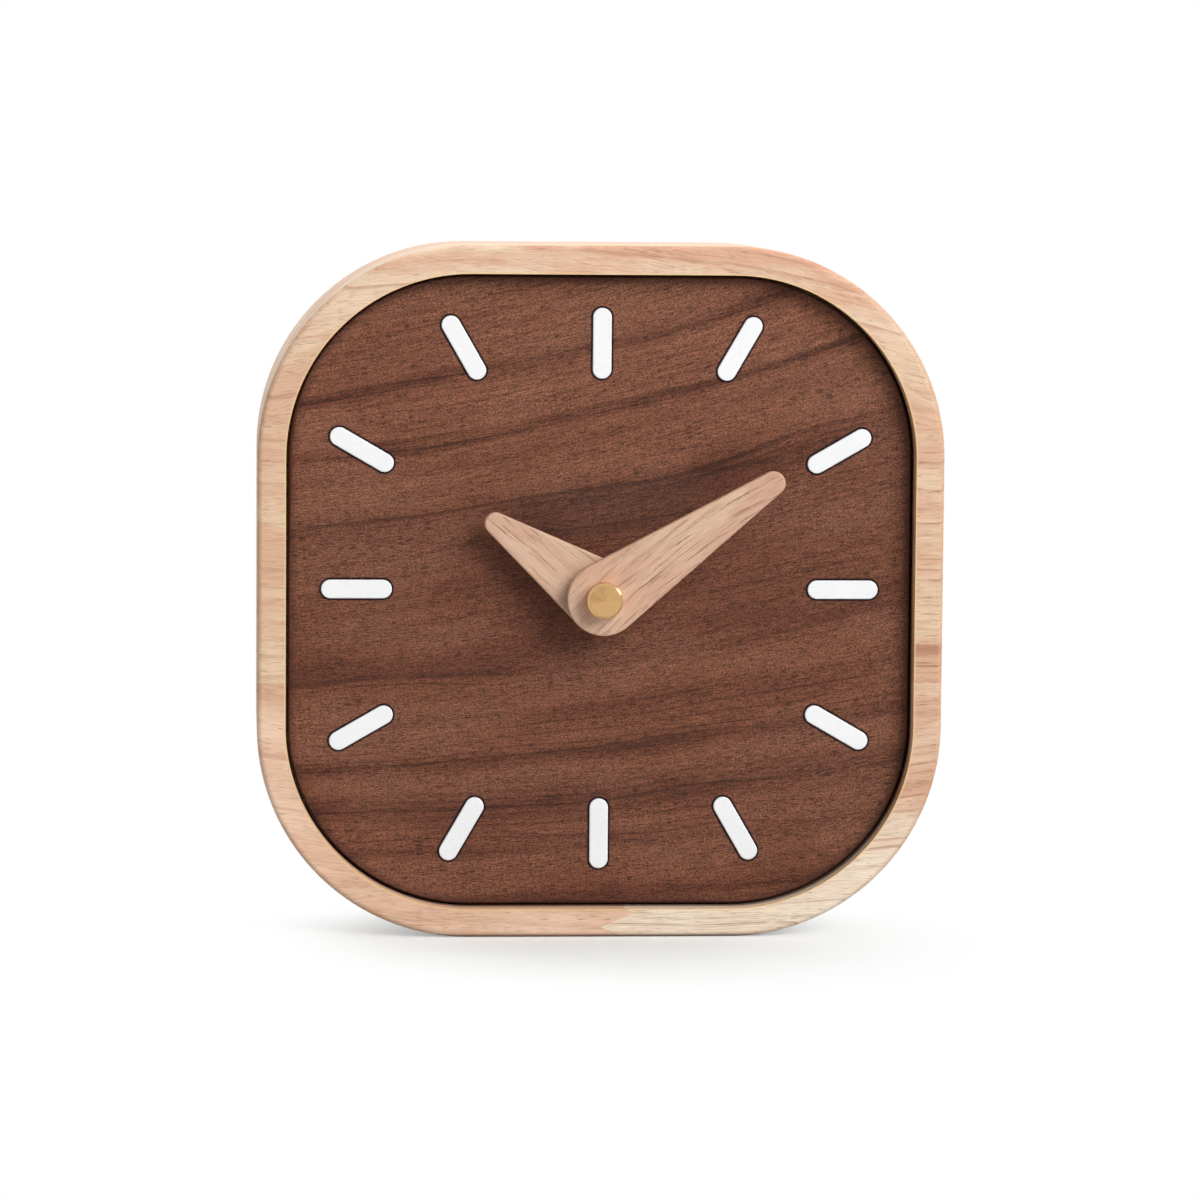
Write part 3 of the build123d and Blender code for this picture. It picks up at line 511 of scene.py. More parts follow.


# %% [markdown]
# ## The pale hardwood of the ring
#
# The ring is cut from a panel of boards glued edge to edge, with the grain running
# across the clock. That is why the top and bottom of the ring show long grain and its
# sides show short cross lines. Each board came from another tree, so one function makes
# the wood and each board gets its own pith, ring width, bend and tone.
#
# The tone climbs from a cream to a pinkish tan with the slow zones of growth. Late wood
# draws thin lines, and pores add brown dashes. The rounded-over edges are darker, partly
# from finish gathered there in patches and partly as painted shade, most on the right.
# The outer side is painted paler, painted light on its lit side. The mouth of the opening
# has a golden lip, a painted highlight on its bevel, and behind it the wall is painted
# dark, painted shade in the recess, darkest low down. A thin dark line along the foot is
# painted shade under its rounded bottom edge.

# %% Outlines of the ring, from the imported pieces
low, high = cad_box
ring_half_width = (high.x - low.x) / 2 * 1000
ring_half_height = (high.z - low.z) / 2 * 1000
ring_middle = (0.0, 0.0, (high.z + low.z) / 2 * 1000)
ring_corner = 37.0
ring_wall = 5.0
ring_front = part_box("case_upper_stave")[0].y * 1000
dial_low, dial_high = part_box("dial_board")
dial_front = dial_low.y * 1000
dial_back = dial_high.y * 1000
dial_middle = (0.0, 0.0, (dial_low.z + dial_high.z) / 2 * 1000)
print("ring", ring_half_width * 2, "x", ring_half_height * 2, "with its front at", ring_front)
print("dial from", dial_front, "to", dial_back, "round", dial_middle)


# %% Function: distance to the ring's outline
def distance_to_ring(place, middle=ring_middle, inwards=0.0):
    """Or to the same outline drawn inwards, which is the dial's."""
    return place_effect(
        rounded_outline, Place=place, Middle=middle, Half_width=ring_half_width - inwards,
        Half_height=ring_half_height - inwards, Corner=ring_corner - inwards,
    )["Distance"]


# %% Function: ring wood
def ring_wood(
    name, seed, pith, ring_width, level_at, bow, cream, tan, late, line_share, shift, dash_lean=0.0
):
    """The grain lies level at level_at, x and z, and bends away from there by the bow.
    The brown dashes lean away from it by dash_lean. Line_share is how strong the lines
    of late wood are. Shift is a second cream and tan, and the heights where they start
    to show and have taken over."""
    material, place = new_finish(name, Specular_IOR_Level=0.25)
    same_lie = {
        "Place": place, "Middle": (level_at[0], 0.0, level_at[1]), "Wander": 1.1,
        "Wander_length": 34.0, "Seed": seed,
    }
    board = place_effect(board_directions, Bow=bow, **same_lie)["Board place"]
    tilted = place_effect(board_directions, Grain_angle=dash_lean, **same_lie)["Board place"]
    same_tree = {
        "Board_place": board, "Pith_deep": pith[0], "Pith_across": pith[1], "Unevenness": 1.6,
    }
    rings = place_effect(
        growth_rings, Ring_width=ring_width, Early_wood=0.62, Seed=seed, **same_tree
    )
    hair = place_effect(
        growth_rings, Ring_width=ring_width * 0.31, Early_wood=0.68, Seed=seed + 0.5, **same_tree
    )["Line"]
    pore = place_effect(
        open_pores, Board_place=board, Length=2.2, Width=0.11, Sparseness=0.69,
        Stream_length=18.0, Stream_width=1.6, Crowding=0.4,
    )["Pore"]
    dash = place_effect(
        open_pores, Board_place=tilted, Length=6.0, Width=0.24, Sparseness=0.7,
        Stream_length=24.0, Stream_width=3.0, Crowding=0.4,
    )["Pore"]
    fibre = place_effect(fine_fibre, Board_place=board, Thickness=0.11)["Fibre"]
    patch = noise(stretch(board, 0.05, 0.2, 0.2), detail=4.0)
    blotch = noise(stretch(board, 0.16, 0.7, 0.7), detail=3.0)

    x, y, z = split(place)
    tone = rings["Zone"] * 0.6 + patch + blotch * 0.35
    other_cream, other_tan, starts_at, full_at = shift
    other = step(z + patch * 8.0, starts_at + 4, full_at + 4)
    cream = mix(other, cream, other_cream)
    tan = mix(other, tan, other_tan)
    colour = mix(step(tone, 0.8, 1.14), cream, tan)
    lines = hair * step(patch, 0.42, 0.6, 0.1, 0.85)
    lines = maths("MAXIMUM", rings["Line"], lines)
    lines = maths("MAXIMUM", lines, dash * 0.85)
    lines = lines * step(blotch, 0.36, 0.56, 0.35, 1.0)
    colour = mix(lines * line_share, colour, late)
    colour = shaded(colour, step(fibre, 0.3, 0.7, 0.85, 1.09))
    colour = mix(pore * 0.5, colour, paint(150, 104, 78))

    edge = distance_to_ring(place)
    rounded_over = step(edge, -1.1, -0.2) * step(y, ring_front + 0.1, ring_front + 1.2, 1.0, 0.0)
    # Darker round-over: partly finish gathered in patches, partly painted shade growing on the
    # right side.
    finish_and_shade = step(patch, 0.4, 0.65, 0.0, 0.2) + step(x, 35.0, 56.0, 0.0, 0.5)
    colour = mix(rounded_over * finish_and_shade, colour, paint(192, 150, 118))
    # The outer side painted paler: painted light on its brightly lit side.
    painted_light_side = step(edge, -0.5, -0.1) * step(y, ring_front + 0.5, ring_front + 1.5)
    colour = mix(painted_light_side * 0.42, colour, paint(229, 213, 193))
    mouth = step(edge, -ring_wall + 0.05, -ring_wall + 0.45, 1.0, 0.0)
    mouth = mouth * step(y, dial_back - 1.0, dial_back, 1.0, 0.0)
    # The golden lip is a painted highlight on the bevel of the opening.
    painted_lip_highlight = mouth * step(y, ring_front + 0.3, ring_front + 1.3, 0.65, 0.0)
    colour = mix(painted_lip_highlight, colour, paint(244, 204, 142))
    # Deeper in the opening the wall is painted dark: painted shade in the recess, darkest low down.
    painted_recess_shade = mouth * step(y, ring_front + 2.2, ring_front + 3.8, 0.0, 0.75)
    low_down = step(z, 28.0, 48.0, 1.0, 0.0)
    colour = mix(painted_recess_shade, colour, mix(low_down, paint(136, 88, 56), paint(84, 50, 30)))
    # A thin dark line along the foot: painted shade under the rounded bottom edge.
    foot = step(z, 0.2, 0.75, 0.75, 0.0)
    colour = mix(foot, colour, paint(98, 68, 62))

    rough = step(fibre, 0.3, 0.75, 0.5, 0.64) + pore * 0.2
    height = fibre * 0.35 - pore * 0.8 + rings["Line"] * 0.2
    return dress(material, colour, rough, height, depth_mm=0.05, strength=0.6)


# %% The five boards of the ring
ring_boards = {
    "case_upper_stave": {
        "name": "hardwood of the upper board", "seed": 1.0, "pith": (30.0, -46.0),
        "ring_width": 2.3, "level_at": (-15.0, 105.0), "bow": 0.0021, "dash_lean": -0.24,
        "cream": paint(236, 206, 178), "tan": paint(224, 174, 144),
        "late": paint(180, 126, 96), "line_share": 0.62,
        "shift": (paint(232, 200, 170), paint(224, 182, 152), 106.0, 100.0),
    },
    "case_middle_left": {
        "name": "hardwood of the middle board, left", "seed": 2.0, "pith": (70.0, -60.0),
        "ring_width": 1.9, "level_at": (-55.0, 67.0), "bow": 0.0005,
        "cream": paint(233, 201, 170), "tan": paint(222, 178, 147),
        "late": paint(186, 138, 106), "line_share": 0.5,
        "shift": (paint(230, 193, 161), paint(217, 172, 142), 70.0, 84.0),
    },
    "case_middle_right": {
        "name": "hardwood of the middle board, right", "seed": 3.4, "pith": (80.0, -90.0),
        "ring_width": 1.6, "level_at": (55.0, 67.0), "bow": 0.0009,
        "cream": paint(230, 198, 168), "tan": paint(219, 172, 144),
        "late": paint(164, 112, 84), "line_share": 0.8,
        "shift": (paint(231, 199, 169), paint(220, 175, 145), 62.0, 50.0),
    },
    "case_lower_left": {
        "name": "hardwood of the lower board, left", "seed": 4.7, "pith": (-40.0, 60.0),
        "ring_width": 2.6, "level_at": (0.0, 20.0), "bow": -0.0014,
        "cream": paint(242, 206, 178), "tan": paint(233, 190, 161),
        "late": paint(190, 144, 114), "line_share": 0.5,
        "shift": (paint(228, 192, 162), paint(218, 174, 144), 34.0, 44.0),
    },
    "case_lower_right": {
        "name": "hardwood of the lower board, right", "seed": 5.9, "pith": (46.0, 62.0),
        "ring_width": 1.6, "level_at": (10.0, 20.0), "bow": -0.0012,
        "cream": paint(231, 198, 170), "tan": paint(216, 168, 140),
        "late": paint(170, 120, 92), "line_share": 0.7,
        "shift": (paint(250, 234, 212), paint(247, 224, 199), 26.0, 13.0),
    },
}
for node_name, its_wood in ring_boards.items():
    wear(ring_wood(**its_wood), node_name)

# %% [markdown]
# ## The walnut dial
#
# The dial is one walnut board. Its grain climbs to the right, more steeply towards the
# right and the top, so it gets an angle, a bow and a fan. The broad streaks of this
# board are its own. Two ramps across the grain set them, one for the board's slow
# change of tone and one for its ten dark years. Noise breaks them up, so that they thin
# out and return like real ones. A dark patch above the hands is added by itself.
#
# The board's edge is painted darker, painted shade where the ring's wall meets it, most
# of all on the left. A thin black line round every hour bar is partly char from the laser
# and partly painted shade of the gap round the bar. The distance to the twelve slots gives
# that line. The slots repeat in all four quarters, so folding the place into one quarter
# leaves only four outlines to measure.

# %% Streaks of this board, from the bottom up
walnut_dark = paint(66, 33, 20)
walnut_brown = paint(106, 62, 43)
walnut_light = paint(134, 86, 64)
board_reach = 60.0
# Each tone: where it lies in millimetres from the dial's middle, and how light it is.
board_tones = [
    (-board_reach, 0.72),
    (-16.0, 0.72),
    (-5.0, 0.56),
    (13.0, 0.46),
    (21.0, 0.82),
    (40.0, 1.0),
    (board_reach, 0.75),
]
# Each dark year: where it lies, half its width, and how much of the light is left in it.
dark_years = [
    (-53.5, 1.9, 0.2),
    (-44.2, 1.9, 0.2),
    (-36.0, 3.8, 0.0),
    (-28.0, 2.2, 0.05),
    (-20.0, 1.9, 0.55),
    (-9.5, 4.0, 0.45),
    (17.0, 3.6, 0.2),
    (27.0, 2.0, 0.6),
    (31.2, 1.4, 0.0),
    (42.0, 2.0, 0.0),
]
year_tones = []
for year_middle, year_half, light_left in dark_years:
    year_tones.append((year_middle - year_half, 1.0))
    year_tones.append((year_middle, light_left))
    year_tones.append((year_middle + year_half, 1.0))
print(len(dark_years), "dark years in", len(year_tones), "stops")


# %% Function: grey ramps across the grain, multiplied
def tones_across(across, *lists_of_tones):
    sockets = {"Value": across, "From Min": -board_reach, "From Max": board_reach}
    share = wire_from("ShaderNodeMapRange", sockets, "Result")
    together = None
    for tones in lists_of_tones:
        stops = []
        for at, grey in tones:
            stops.append(((at + board_reach) / (2 * board_reach), (grey, grey, grey, 1.0)))
        tone = ramp(share, *stops)
        together = tone if together is None else mix(1.0, together, tone, "MULTIPLY")
    return together


# %% Where the hour bars sit, in one quarter of the dial
bar_half_length, bar_half_width = 6.2, 1.65
char_and_shade_ends = dial_front + 2.5
bar_ring_middle = (0.0, 0.0, 60.9)
quarter_bars = []
for hour in (12, 1, 2, 3):
    bar_low, bar_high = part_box(f"hour_bar_{hour:02d}")
    middle = (bar_low + bar_high) / 2 * 1000
    lean = math.radians(90 - 30 * (hour % 12))
    quarter_bars.append(((middle.x, 0.0, middle.z - bar_ring_middle[2]), lean))
    print(hour, "o'clock bar at", round(middle.x, 2), round(middle.z, 2))


# %% Function: distance to the nearest slot
def distance_to_slots(place):
    folded = vector("ABSOLUTE", vector("SUBTRACT", place, bar_ring_middle))
    nearest = None
    for middle, lean in quarter_bars:
        distance = place_effect(
            rounded_outline, Place=folded, Middle=middle, Half_width=bar_half_length,
            Half_height=bar_half_width, Corner=bar_half_width, Turn=lean,
        )["Distance"]
        nearest = distance if nearest is None else maths("MINIMUM", nearest, distance)
    return nearest


# %% Function: walnut
def dial_walnut():
    material, place = new_finish("oiled walnut", Specular_IOR_Level=0.22)
    board = place_effect(
        board_directions, Place=place, Middle=dial_middle, Grain_angle=math.atan(0.16),
        Bow=-0.0008, Fan=0.0018, Wander=1.5, Wander_length=42.0, Seed=0.0,
    )["Board place"]
    along, _, across = split(board)
    ragged = noise(stretch(board, 0.045, 0.3, 0.3), detail=5.0)
    streak = tones_across(across + (ragged - 0.5) * 4.0, board_tones, year_tones)
    faded = noise(stretch(board, 0.03, 0.16, 0.16), detail=3.0)
    strand = noise(stretch(board, 0.16, 2.6, 2.6), detail=3.0)
    faded = step(faded, 0.36, 0.6, 0.75, 1.3) * step(strand, 0.4, 0.58, 0.45, 1.1)
    streak = mix(faded, (0.52, 0.52, 0.52, 1.0), streak)
    years = wire_from("ShaderNodeSeparateColor", {0: streak})
    fine = place_effect(
        growth_rings, Board_place=board, Pith_deep=90.0, Pith_across=-150.0, Ring_width=1.5,
        Unevenness=2.2, Early_wood=0.55, Seed=1.7,
    )
    pore = place_effect(
        open_pores, Board_place=board, Length=1.7, Width=0.16,
        Sparseness=years * 0.09 + 0.56, Stream_length=14.0, Stream_width=1.8, Crowding=0.4,
    )["Pore"]
    fibre = place_effect(fine_fibre, Board_place=board, Thickness=0.13)["Fibre"]
    cloud = noise(stretch(board, 0.03, 0.1, 0.1), detail=3.0)
    speck = noise(stretch(board, 2.8, 5.2, 5.2), detail=3.0)

    light = years * 0.8 + step(cloud, 0.3, 0.7, 0.0, 0.4) - fine["Line"] * 0.35
    band_across = step(across, 7.0, 12.0) * step(across, 15.5, 20.5, 0.48, 0.0)
    band_along = step(along, -24.0, -4.0) * step(along, 12.0, 32.0, 1.0, 0.0)
    light = light - band_across * band_along
    colour = ramp(light, (0.0, walnut_dark), (0.42, walnut_brown), (1.0, walnut_light))
    colour = mix(step(cloud, 0.42, 0.62, 0.0, 0.3), colour, paint(108, 72, 56))
    silk = step(fibre, 0.3, 0.7, 0.68, 1.32) * step(speck, 0.3, 0.7, 0.46, 1.58)
    colour = mix(pore * 0.66, shaded(colour, silk), paint(46, 21, 13))

    x, y, z = split(place)
    # A thin dark line round each slot: partly laser char, partly painted shade of the gap.
    char_and_shade = step(distance_to_slots(place), 0.12, 0.5, 1.0, 0.0)
    char_and_shade = char_and_shade * step(y, char_and_shade_ends - 0.1, char_and_shade_ends + 0.1, 1.0, 0.0)
    colour = mix(char_and_shade, colour, paint(18, 12, 30))
    edge = distance_to_ring(place, dial_middle, ring_wall)
    # Painted shade along the dial's edge, beneath the ring's wall.
    colour = mix(step(edge, -2.4, -0.4, 0.0, 0.6), colour, paint(52, 27, 20))
    # A narrow darker painted shade at the very edge, wider on the upper left.
    wider = step(z, 62.0, 84.0) * step(z, 90.0, 100.0, 0.6, 0.0)
    wider = wider * step(x, -45.0, -35.0, 1.0, 0.0)
    painted_recess_shade = step(edge + wider, -0.6, -0.4, 0.0, 0.9)
    colour = mix(painted_recess_shade, colour, paint(72, 36, 20))

    rough = step(fibre, 0.3, 0.72, 0.52, 0.68) + char_and_shade
    height = fibre * 0.5 - pore * 0.9
    return dress(material, colour, rough, height, depth_mm=0.06, strength=0.7)


wear(dial_walnut(), "dial_board")

# %% [markdown]
# ## The wooden hands
#
# The hands are sawn from thin pale stock with the grain along each hand, or they would
# snap. Their pores are long, thin and brown. In the minute hand they bend a little from
# the hub to the tip, and the hour hand has only a few. Each hand has its own direction,
# and its wood turns with it because the place is the hand's own.

# %% Function: hand wood
hub_height = 59.9
hub = (0.0, 0.0, hub_height)


def hand_wood(name, points_at, lean, bow, seed, line_gap, pore_length, sparseness, share, above):
    """Points_at is the hand's angle at rest, clockwise from twelve, and lean the grain's.
    Share is how strong the lines are, and above how much of that is left on the hand's
    upper side."""
    material, place = new_finish(name, Specular_IOR_Level=0.25)
    board = place_effect(
        board_directions, Place=place, Middle=hub,
        Grain_angle=math.radians(90 - points_at + lean), Bow=bow, Wander=0.7,
        Wander_length=11.0, Seed=seed,
    )["Board place"]
    vein = place_effect(
        growth_rings, Board_place=board, Pith_deep=14.0, Pith_across=-26.0,
        Ring_width=line_gap, Unevenness=0.9, Early_wood=0.76, Seed=seed,
    )["Line"]
    pore = place_effect(
        open_pores, Board_place=board, Length=pore_length, Width=0.13,
        Sparseness=sparseness, Stream_length=pore_length * 4, Stream_width=1.1,
        Crowding=0.6,
    )["Pore"]
    fibre = place_effect(fine_fibre, Board_place=board, Thickness=0.09)["Fibre"]
    patch = noise(stretch(board, 0.09, 0.45, 0.45), detail=3.0)
    broken = noise(stretch(board, 0.14, 0.6, 0.6), detail=2.0)
    bead = noise(stretch(board, 1.1, 3.0, 3.0), detail=2.0)
    bead = step(bead, 0.36, 0.56, 0.5, 1.0)

    colour = mix(step(patch, 0.38, 0.62), paint(218, 183, 157), paint(209, 167, 142))
    colour = shaded(colour, step(fibre, 0.3, 0.7, 0.86, 1.1))
    _, _, across = split(board)
    fuller = step(across, -2.0, 2.0, 1.0, above)
    veins = vein * step(broken, 0.43, 0.56, 0.0, share) * fuller * bead
    colour = mix(veins, colour, paint(128, 86, 58))
    pore = pore * bead * fuller
    colour = mix(pore * 0.85, colour, paint(112, 74, 50))
    rough = step(fibre, 0.3, 0.75, 0.5, 0.64)
    height = fibre * 0.4 - pore - veins * 0.5
    return dress(material, colour, rough, height, depth_mm=0.05, strength=0.6)


# %% The two hands
minute_wood = {
    "points_at": 55.4, "lean": 9, "bow": 0.004, "seed": 2.2, "line_gap": 1.0,
    "pore_length": 6.5, "sparseness": 0.66, "share": 1.0, "above": 0.45,
}
hour_wood = {
    "points_at": 304.6, "lean": -4, "bow": 0.0, "seed": 6.1, "line_gap": 1.5,
    "pore_length": 4.5, "sparseness": 0.73, "share": 0.6, "above": 1.0,
}
wear(hand_wood("hand wood, long veins", **minute_wood), "minute_hand")
wear(hand_wood("hand wood, few veins", **hour_wood), "hour_hand")

# %% [markdown]
# ## The white bars
#
# The bars are laser-cut from white acrylic. The sheet is glossy with a faint ripple. The
# sides are darker down where the bar meets the dial, partly soot from the cut and partly
# painted shade.

# %% White acrylic
def white_acrylic():
    material, place = new_finish("white acrylic", IOR=1.49)
    skin = place_effect(moulded_skin, Place=place, Grain=0.5)
    scratch = place_effect(hair_scratches, Place=place)["Scratch"]
    _, y, _ = split(place)
    # Darker sides next to the dial: partly soot, partly painted shade.
    soot_and_shade = step(y, dial_front - 0.35, dial_front - 0.05)
    cloud = step(skin["Cloud"], 0.3, 0.7)
    colour = mix(cloud, paint(243, 244, 245), paint(247, 247, 247))
    colour = mix(soot_and_shade * 0.85, colour, paint(40, 32, 44))
    rough = step(skin["Skin"], 0.3, 0.7, 0.22, 0.34) + scratch
    return dress(material, colour, rough, skin["Skin"], depth_mm=0.003, strength=0.3)


wear(white_acrylic(), *[f"hour_bar_{hour:02d}" for hour in range(1, 13)])

# %% [markdown]
# ## Brass, steel and copper
#
# The cap, nut, washer and arbor are turned from brass. The cap's face was brushed from
# the middle outwards. Its soft sectors are painted sheen, tones that turn with the cap,
# and its polished bevel is painted a lighter brass as a painted highlight. The nut, the
# washer and the arbor keep the lathe's rings. The motor's plates, the crystal's can and
# the battery contacts are nickel-plated steel, brushed along the strip. The winding is
# fine copper wire in amber enamel, whose turns show as a close ribbing, with painted
# shade in the grooves between them.

# %% Brass as the lathe leaves it
def turned_brass():
    material, place = new_finish("turned brass", Metallic=1.0)
    ring = place_effect(lathe_rings, Place=place, Middle=hub, Feed=0.09)["Ring"]
    scratch = place_effect(hair_scratches, Place=place)["Scratch"]
    skin = place_effect(moulded_skin, Place=place, Grain=0.2)["Skin"]
    tone = step(ring * 0.5 + skin, 0.55, 0.95)
    colour = mix(tone, paint(196, 152, 88), paint(220, 180, 112))
    rough = step(skin, 0.3, 0.7, 0.34, 0.46) + scratch * 0.12
    return dress(material, colour, rough, ring * 0.6 + scratch, depth_mm=0.006, strength=0.5)


# %% Brass brushed from the middle, with a polished bevel
cap_face_ends, cap_bevel_starts = 2.68, 2.76


def brushed_brass():
    material, place = new_finish("brushed brass", Metallic=1.0)
    x, _, z = split(vector("SUBTRACT", place, hub))
    flat = join(x, 0.0, z)
    # The direction from the middle, moved to where the noise has such sectors.
    outwards = vector("ADD", vector("NORMALIZE", flat), (3.7, 0.4, 1.9))
    # Soft sectors: painted sheen of the brushing, tones that turn with the cap.
    sheen_sector = noise(stretch(outwards, 0.8, 1.0, 0.8), detail=1.0)
    brush = noise(stretch(outwards, 26.0, 1.0, 26.0), detail=2.0)
    skin = place_effect(moulded_skin, Place=place, Grain=0.3)["Skin"]
    scratch = place_effect(hair_scratches, Place=place)["Scratch"]
    bevel = step(vector("LENGTH", flat), cap_face_ends, cap_bevel_starts)
    tone = step(sheen_sector + brush * 0.15 + skin * 0.15, 0.42, 0.72)
    colour = mix(tone, paint(166, 126, 86), paint(192, 153, 106))
    # The bevel painted a lighter brass: a painted highlight, with its polish in the lower
    # roughness.
    colour = mix(bevel, colour, paint(208, 168, 118))
    rough = step(skin, 0.3, 0.7, 0.36, 0.44) + scratch * 0.08 - bevel * 0.2
    return dress(material, colour, rough, brush * 0.5 + scratch, depth_mm=0.004, strength=0.4)


wear(brushed_brass(), "cap_nut")
wear(turned_brass(), "fixing_nut", "fixing_washer", "minute_arbor")


# %% Plated steel
def plated_steel():
    material, place = new_finish("plated steel", Metallic=1.0)
    brush = noise(stretch(place, 0.4, 9.0, 9.0), detail=3.0, roughness=0.6)
    cloud = place_effect(moulded_skin, Place=place, Grain=0.3)["Cloud"]
    scratch = place_effect(hair_scratches, Place=place)["Scratch"]
    colour = mix(step(cloud, 0.35, 0.65), paint(196, 196, 192), paint(178, 176, 170))
    rough = step(brush, 0.3, 0.7, 0.26, 0.42)
    return dress(material, colour, rough, brush - scratch, depth_mm=0.006, strength=0.5)


steel_pieces = ["stator_left", "stator_right", "coil_core", "quartz_crystal"]
wear(plated_steel(), *steel_pieces, "contact_positive", "contact_negative")

# %% Enamelled copper wire, wound round an axis along X
half_turn = 0.06


def wound_copper():
    material, place = new_finish("enamelled copper", Metallic=0.85, Coat_Weight=0.4)
    x, y, _ = split(place)
    wander = noise(stretch(place, 0.6, 0.8, 0.8))
    lean = y * 0.02 + x + wander * 0.25
    turns = maths("PINGPONG", lean, half_turn) / half_turn
    # The grooves between turns are painted dark: painted shade.
    colour = mix(step(turns, 0.0, 0.7), paint(92, 40, 20), paint(196, 106, 58))
    colour = mix(step(wander, 0.4, 0.6, 0.0, 0.3), colour, paint(170, 78, 40))
    rough = step(turns, 0.0, 1.0, 0.5, 0.26)
    return dress(material, colour, rough, turns, depth_mm=0.03, strength=0.9)


wear(wound_copper(), "coil_winding")

# %% [markdown]
# ## Plastics and rubber
#
# The movement's two shells and the setting knob are black styrene from a spark-eroded
# mould, faintly shiny where hands have touched them. The wheels are natural nylon, milky
# and slightly yellow. The gasket is black rubber with a bloom of pale powder.

# %% Black moulded plastic
def black_styrene():
    material, place = new_finish("black moulded plastic", IOR=1.5)
    skin = place_effect(moulded_skin, Place=place, Grain=0.22)
    scratch = place_effect(hair_scratches, Place=place, Thickness=0.06, Length=5.0)["Scratch"]
    colour = mix(step(skin["Cloud"], 0.3, 0.7), paint(27, 27, 29), paint(37, 37, 39))
    colour = mix(scratch * 0.12, colour, paint(92, 92, 94))
    rough = step(skin["Cloud"], 0.35, 0.65, 0.38, 0.52) + skin["Skin"] * 0.1
    return dress(material, colour, rough, skin["Skin"], depth_mm=0.03, strength=0.6)


wear(black_styrene(), "movement_front_case", "movement_rear_case", "setting_knob")


# %% Natural nylon
def natural_nylon():
    material, place = new_finish(
        "natural nylon", IOR=1.53, Subsurface_Weight=0.2, Subsurface_Scale=0.0006
    )
    skin = place_effect(moulded_skin, Place=place, Grain=0.3)
    colour = mix(step(skin["Cloud"], 0.3, 0.7), paint(236, 231, 214), paint(226, 218, 196))
    rough = step(skin["Skin"], 0.3, 0.7, 0.32, 0.46)
    return dress(material, colour, rough, skin["Skin"], depth_mm=0.01, strength=0.4)


nylon_wheels = ["hour", "centre", "seconds", "motion", "third", "intermediate"]
wheel_names = [f"{wheel}_wheel" for wheel in nylon_wheels]
wear(natural_nylon(), "bearing_plate", *wheel_names, "rotor_arbor", "coil_bobbin")


# %% Gasket rubber
def gasket_rubber():
    material, place = new_finish("black rubber", Sheen_Weight=0.15)
    skin = place_effect(moulded_skin, Place=place, Grain=0.15)
    bloom = step(skin["Cloud"], 0.42, 0.66, 0.0, 0.35)
    colour = mix(bloom, paint(30, 29, 29), paint(74, 72, 70))
    rough = step(skin["Skin"], 0.3, 0.7, 0.74, 0.9)
    return dress(material, colour, rough, skin["Skin"], depth_mm=0.02, strength=0.6)


wear(gasket_rubber(), "rubber_gasket")

# %% [markdown]
# ## The circuit, the magnet and the cell
#
# The board is green with tinned tracks, and the chip is a plain square of black epoxy.
# The rotor magnet is sintered, so it is dark, dense and a little sparkly. The cell wears
# a plain printed sleeve with a paler band towards its nub end and bare steel at both
# ends, and no words.

# %% Circuit board
def green_board():
    material, place = new_finish("green circuit board", Coat_Weight=0.3)
    sockets = {"Vector": stretch(place, 0.42, 0.05, 0.42), "Scale": 1.0}
    gap = wire_from("ShaderNodeTexVoronoi", sockets, "Distance", feature="DISTANCE_TO_EDGE")
    track = step(gap, 0.05, 0.09, 1.0, 0.0)
    warp, _, weft = split(vector("SINE", stretch(place, 9.0, 0.0, 9.0)))
    cloth = warp * weft
    colour = mix(step(cloth, -1.0, 1.0), paint(22, 84, 52), paint(30, 98, 62))
    colour = mix(track, colour, paint(62, 138, 92))
    rough = step(cloth, -1.0, 1.0, 0.3, 0.4)
    return dress(material, colour, rough, track + cloth * 0.2, depth_mm=0.03, strength=0.6)


wear(green_board(), "circuit_board")


# %% Chip epoxy and sintered magnet
def dark_cast(name, dark, pale, speckle):
    material, place = new_finish(name)
    skin = place_effect(moulded_skin, Place=place, Grain=speckle)
    colour = mix(step(skin["Skin"], 0.45, 0.75), dark, pale)
    rough = step(skin["Cloud"], 0.3, 0.7, 0.45, 0.6)
    return dress(material, colour, rough, skin["Skin"], depth_mm=0.02, strength=0.5)


wear(dark_cast("black epoxy", paint(24, 24, 25), paint(40, 40, 42), 0.1), "timing_chip")
wear(dark_cast("sintered magnet", paint(52, 52, 55), paint(96, 96, 100), 0.15), "rotor_magnet")

# %% Battery sleeve
cell_low, cell_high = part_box("battery")
cell_middle = (0.0, (cell_low.y + cell_high.y) * 500, (cell_low.z + cell_high.z) * 500)
nub_end, flat_end = cell_high.x * 1000, cell_low.x * 1000
sleeve_from, sleeve_to = flat_end + 0.3, nub_end - 1.7
sleeve_turns_in = 6.45
band_from, line_to = nub_end - 14.05, nub_end - 13.15
print("cell along X from", flat_end, "to", nub_end)


def cut_edge(value, at, before=0.0, after=1.0):
    """A step a tenth of a millimetre wide, as between two printed colours."""
    return step(value, at - 0.05, at + 0.05, before, after)


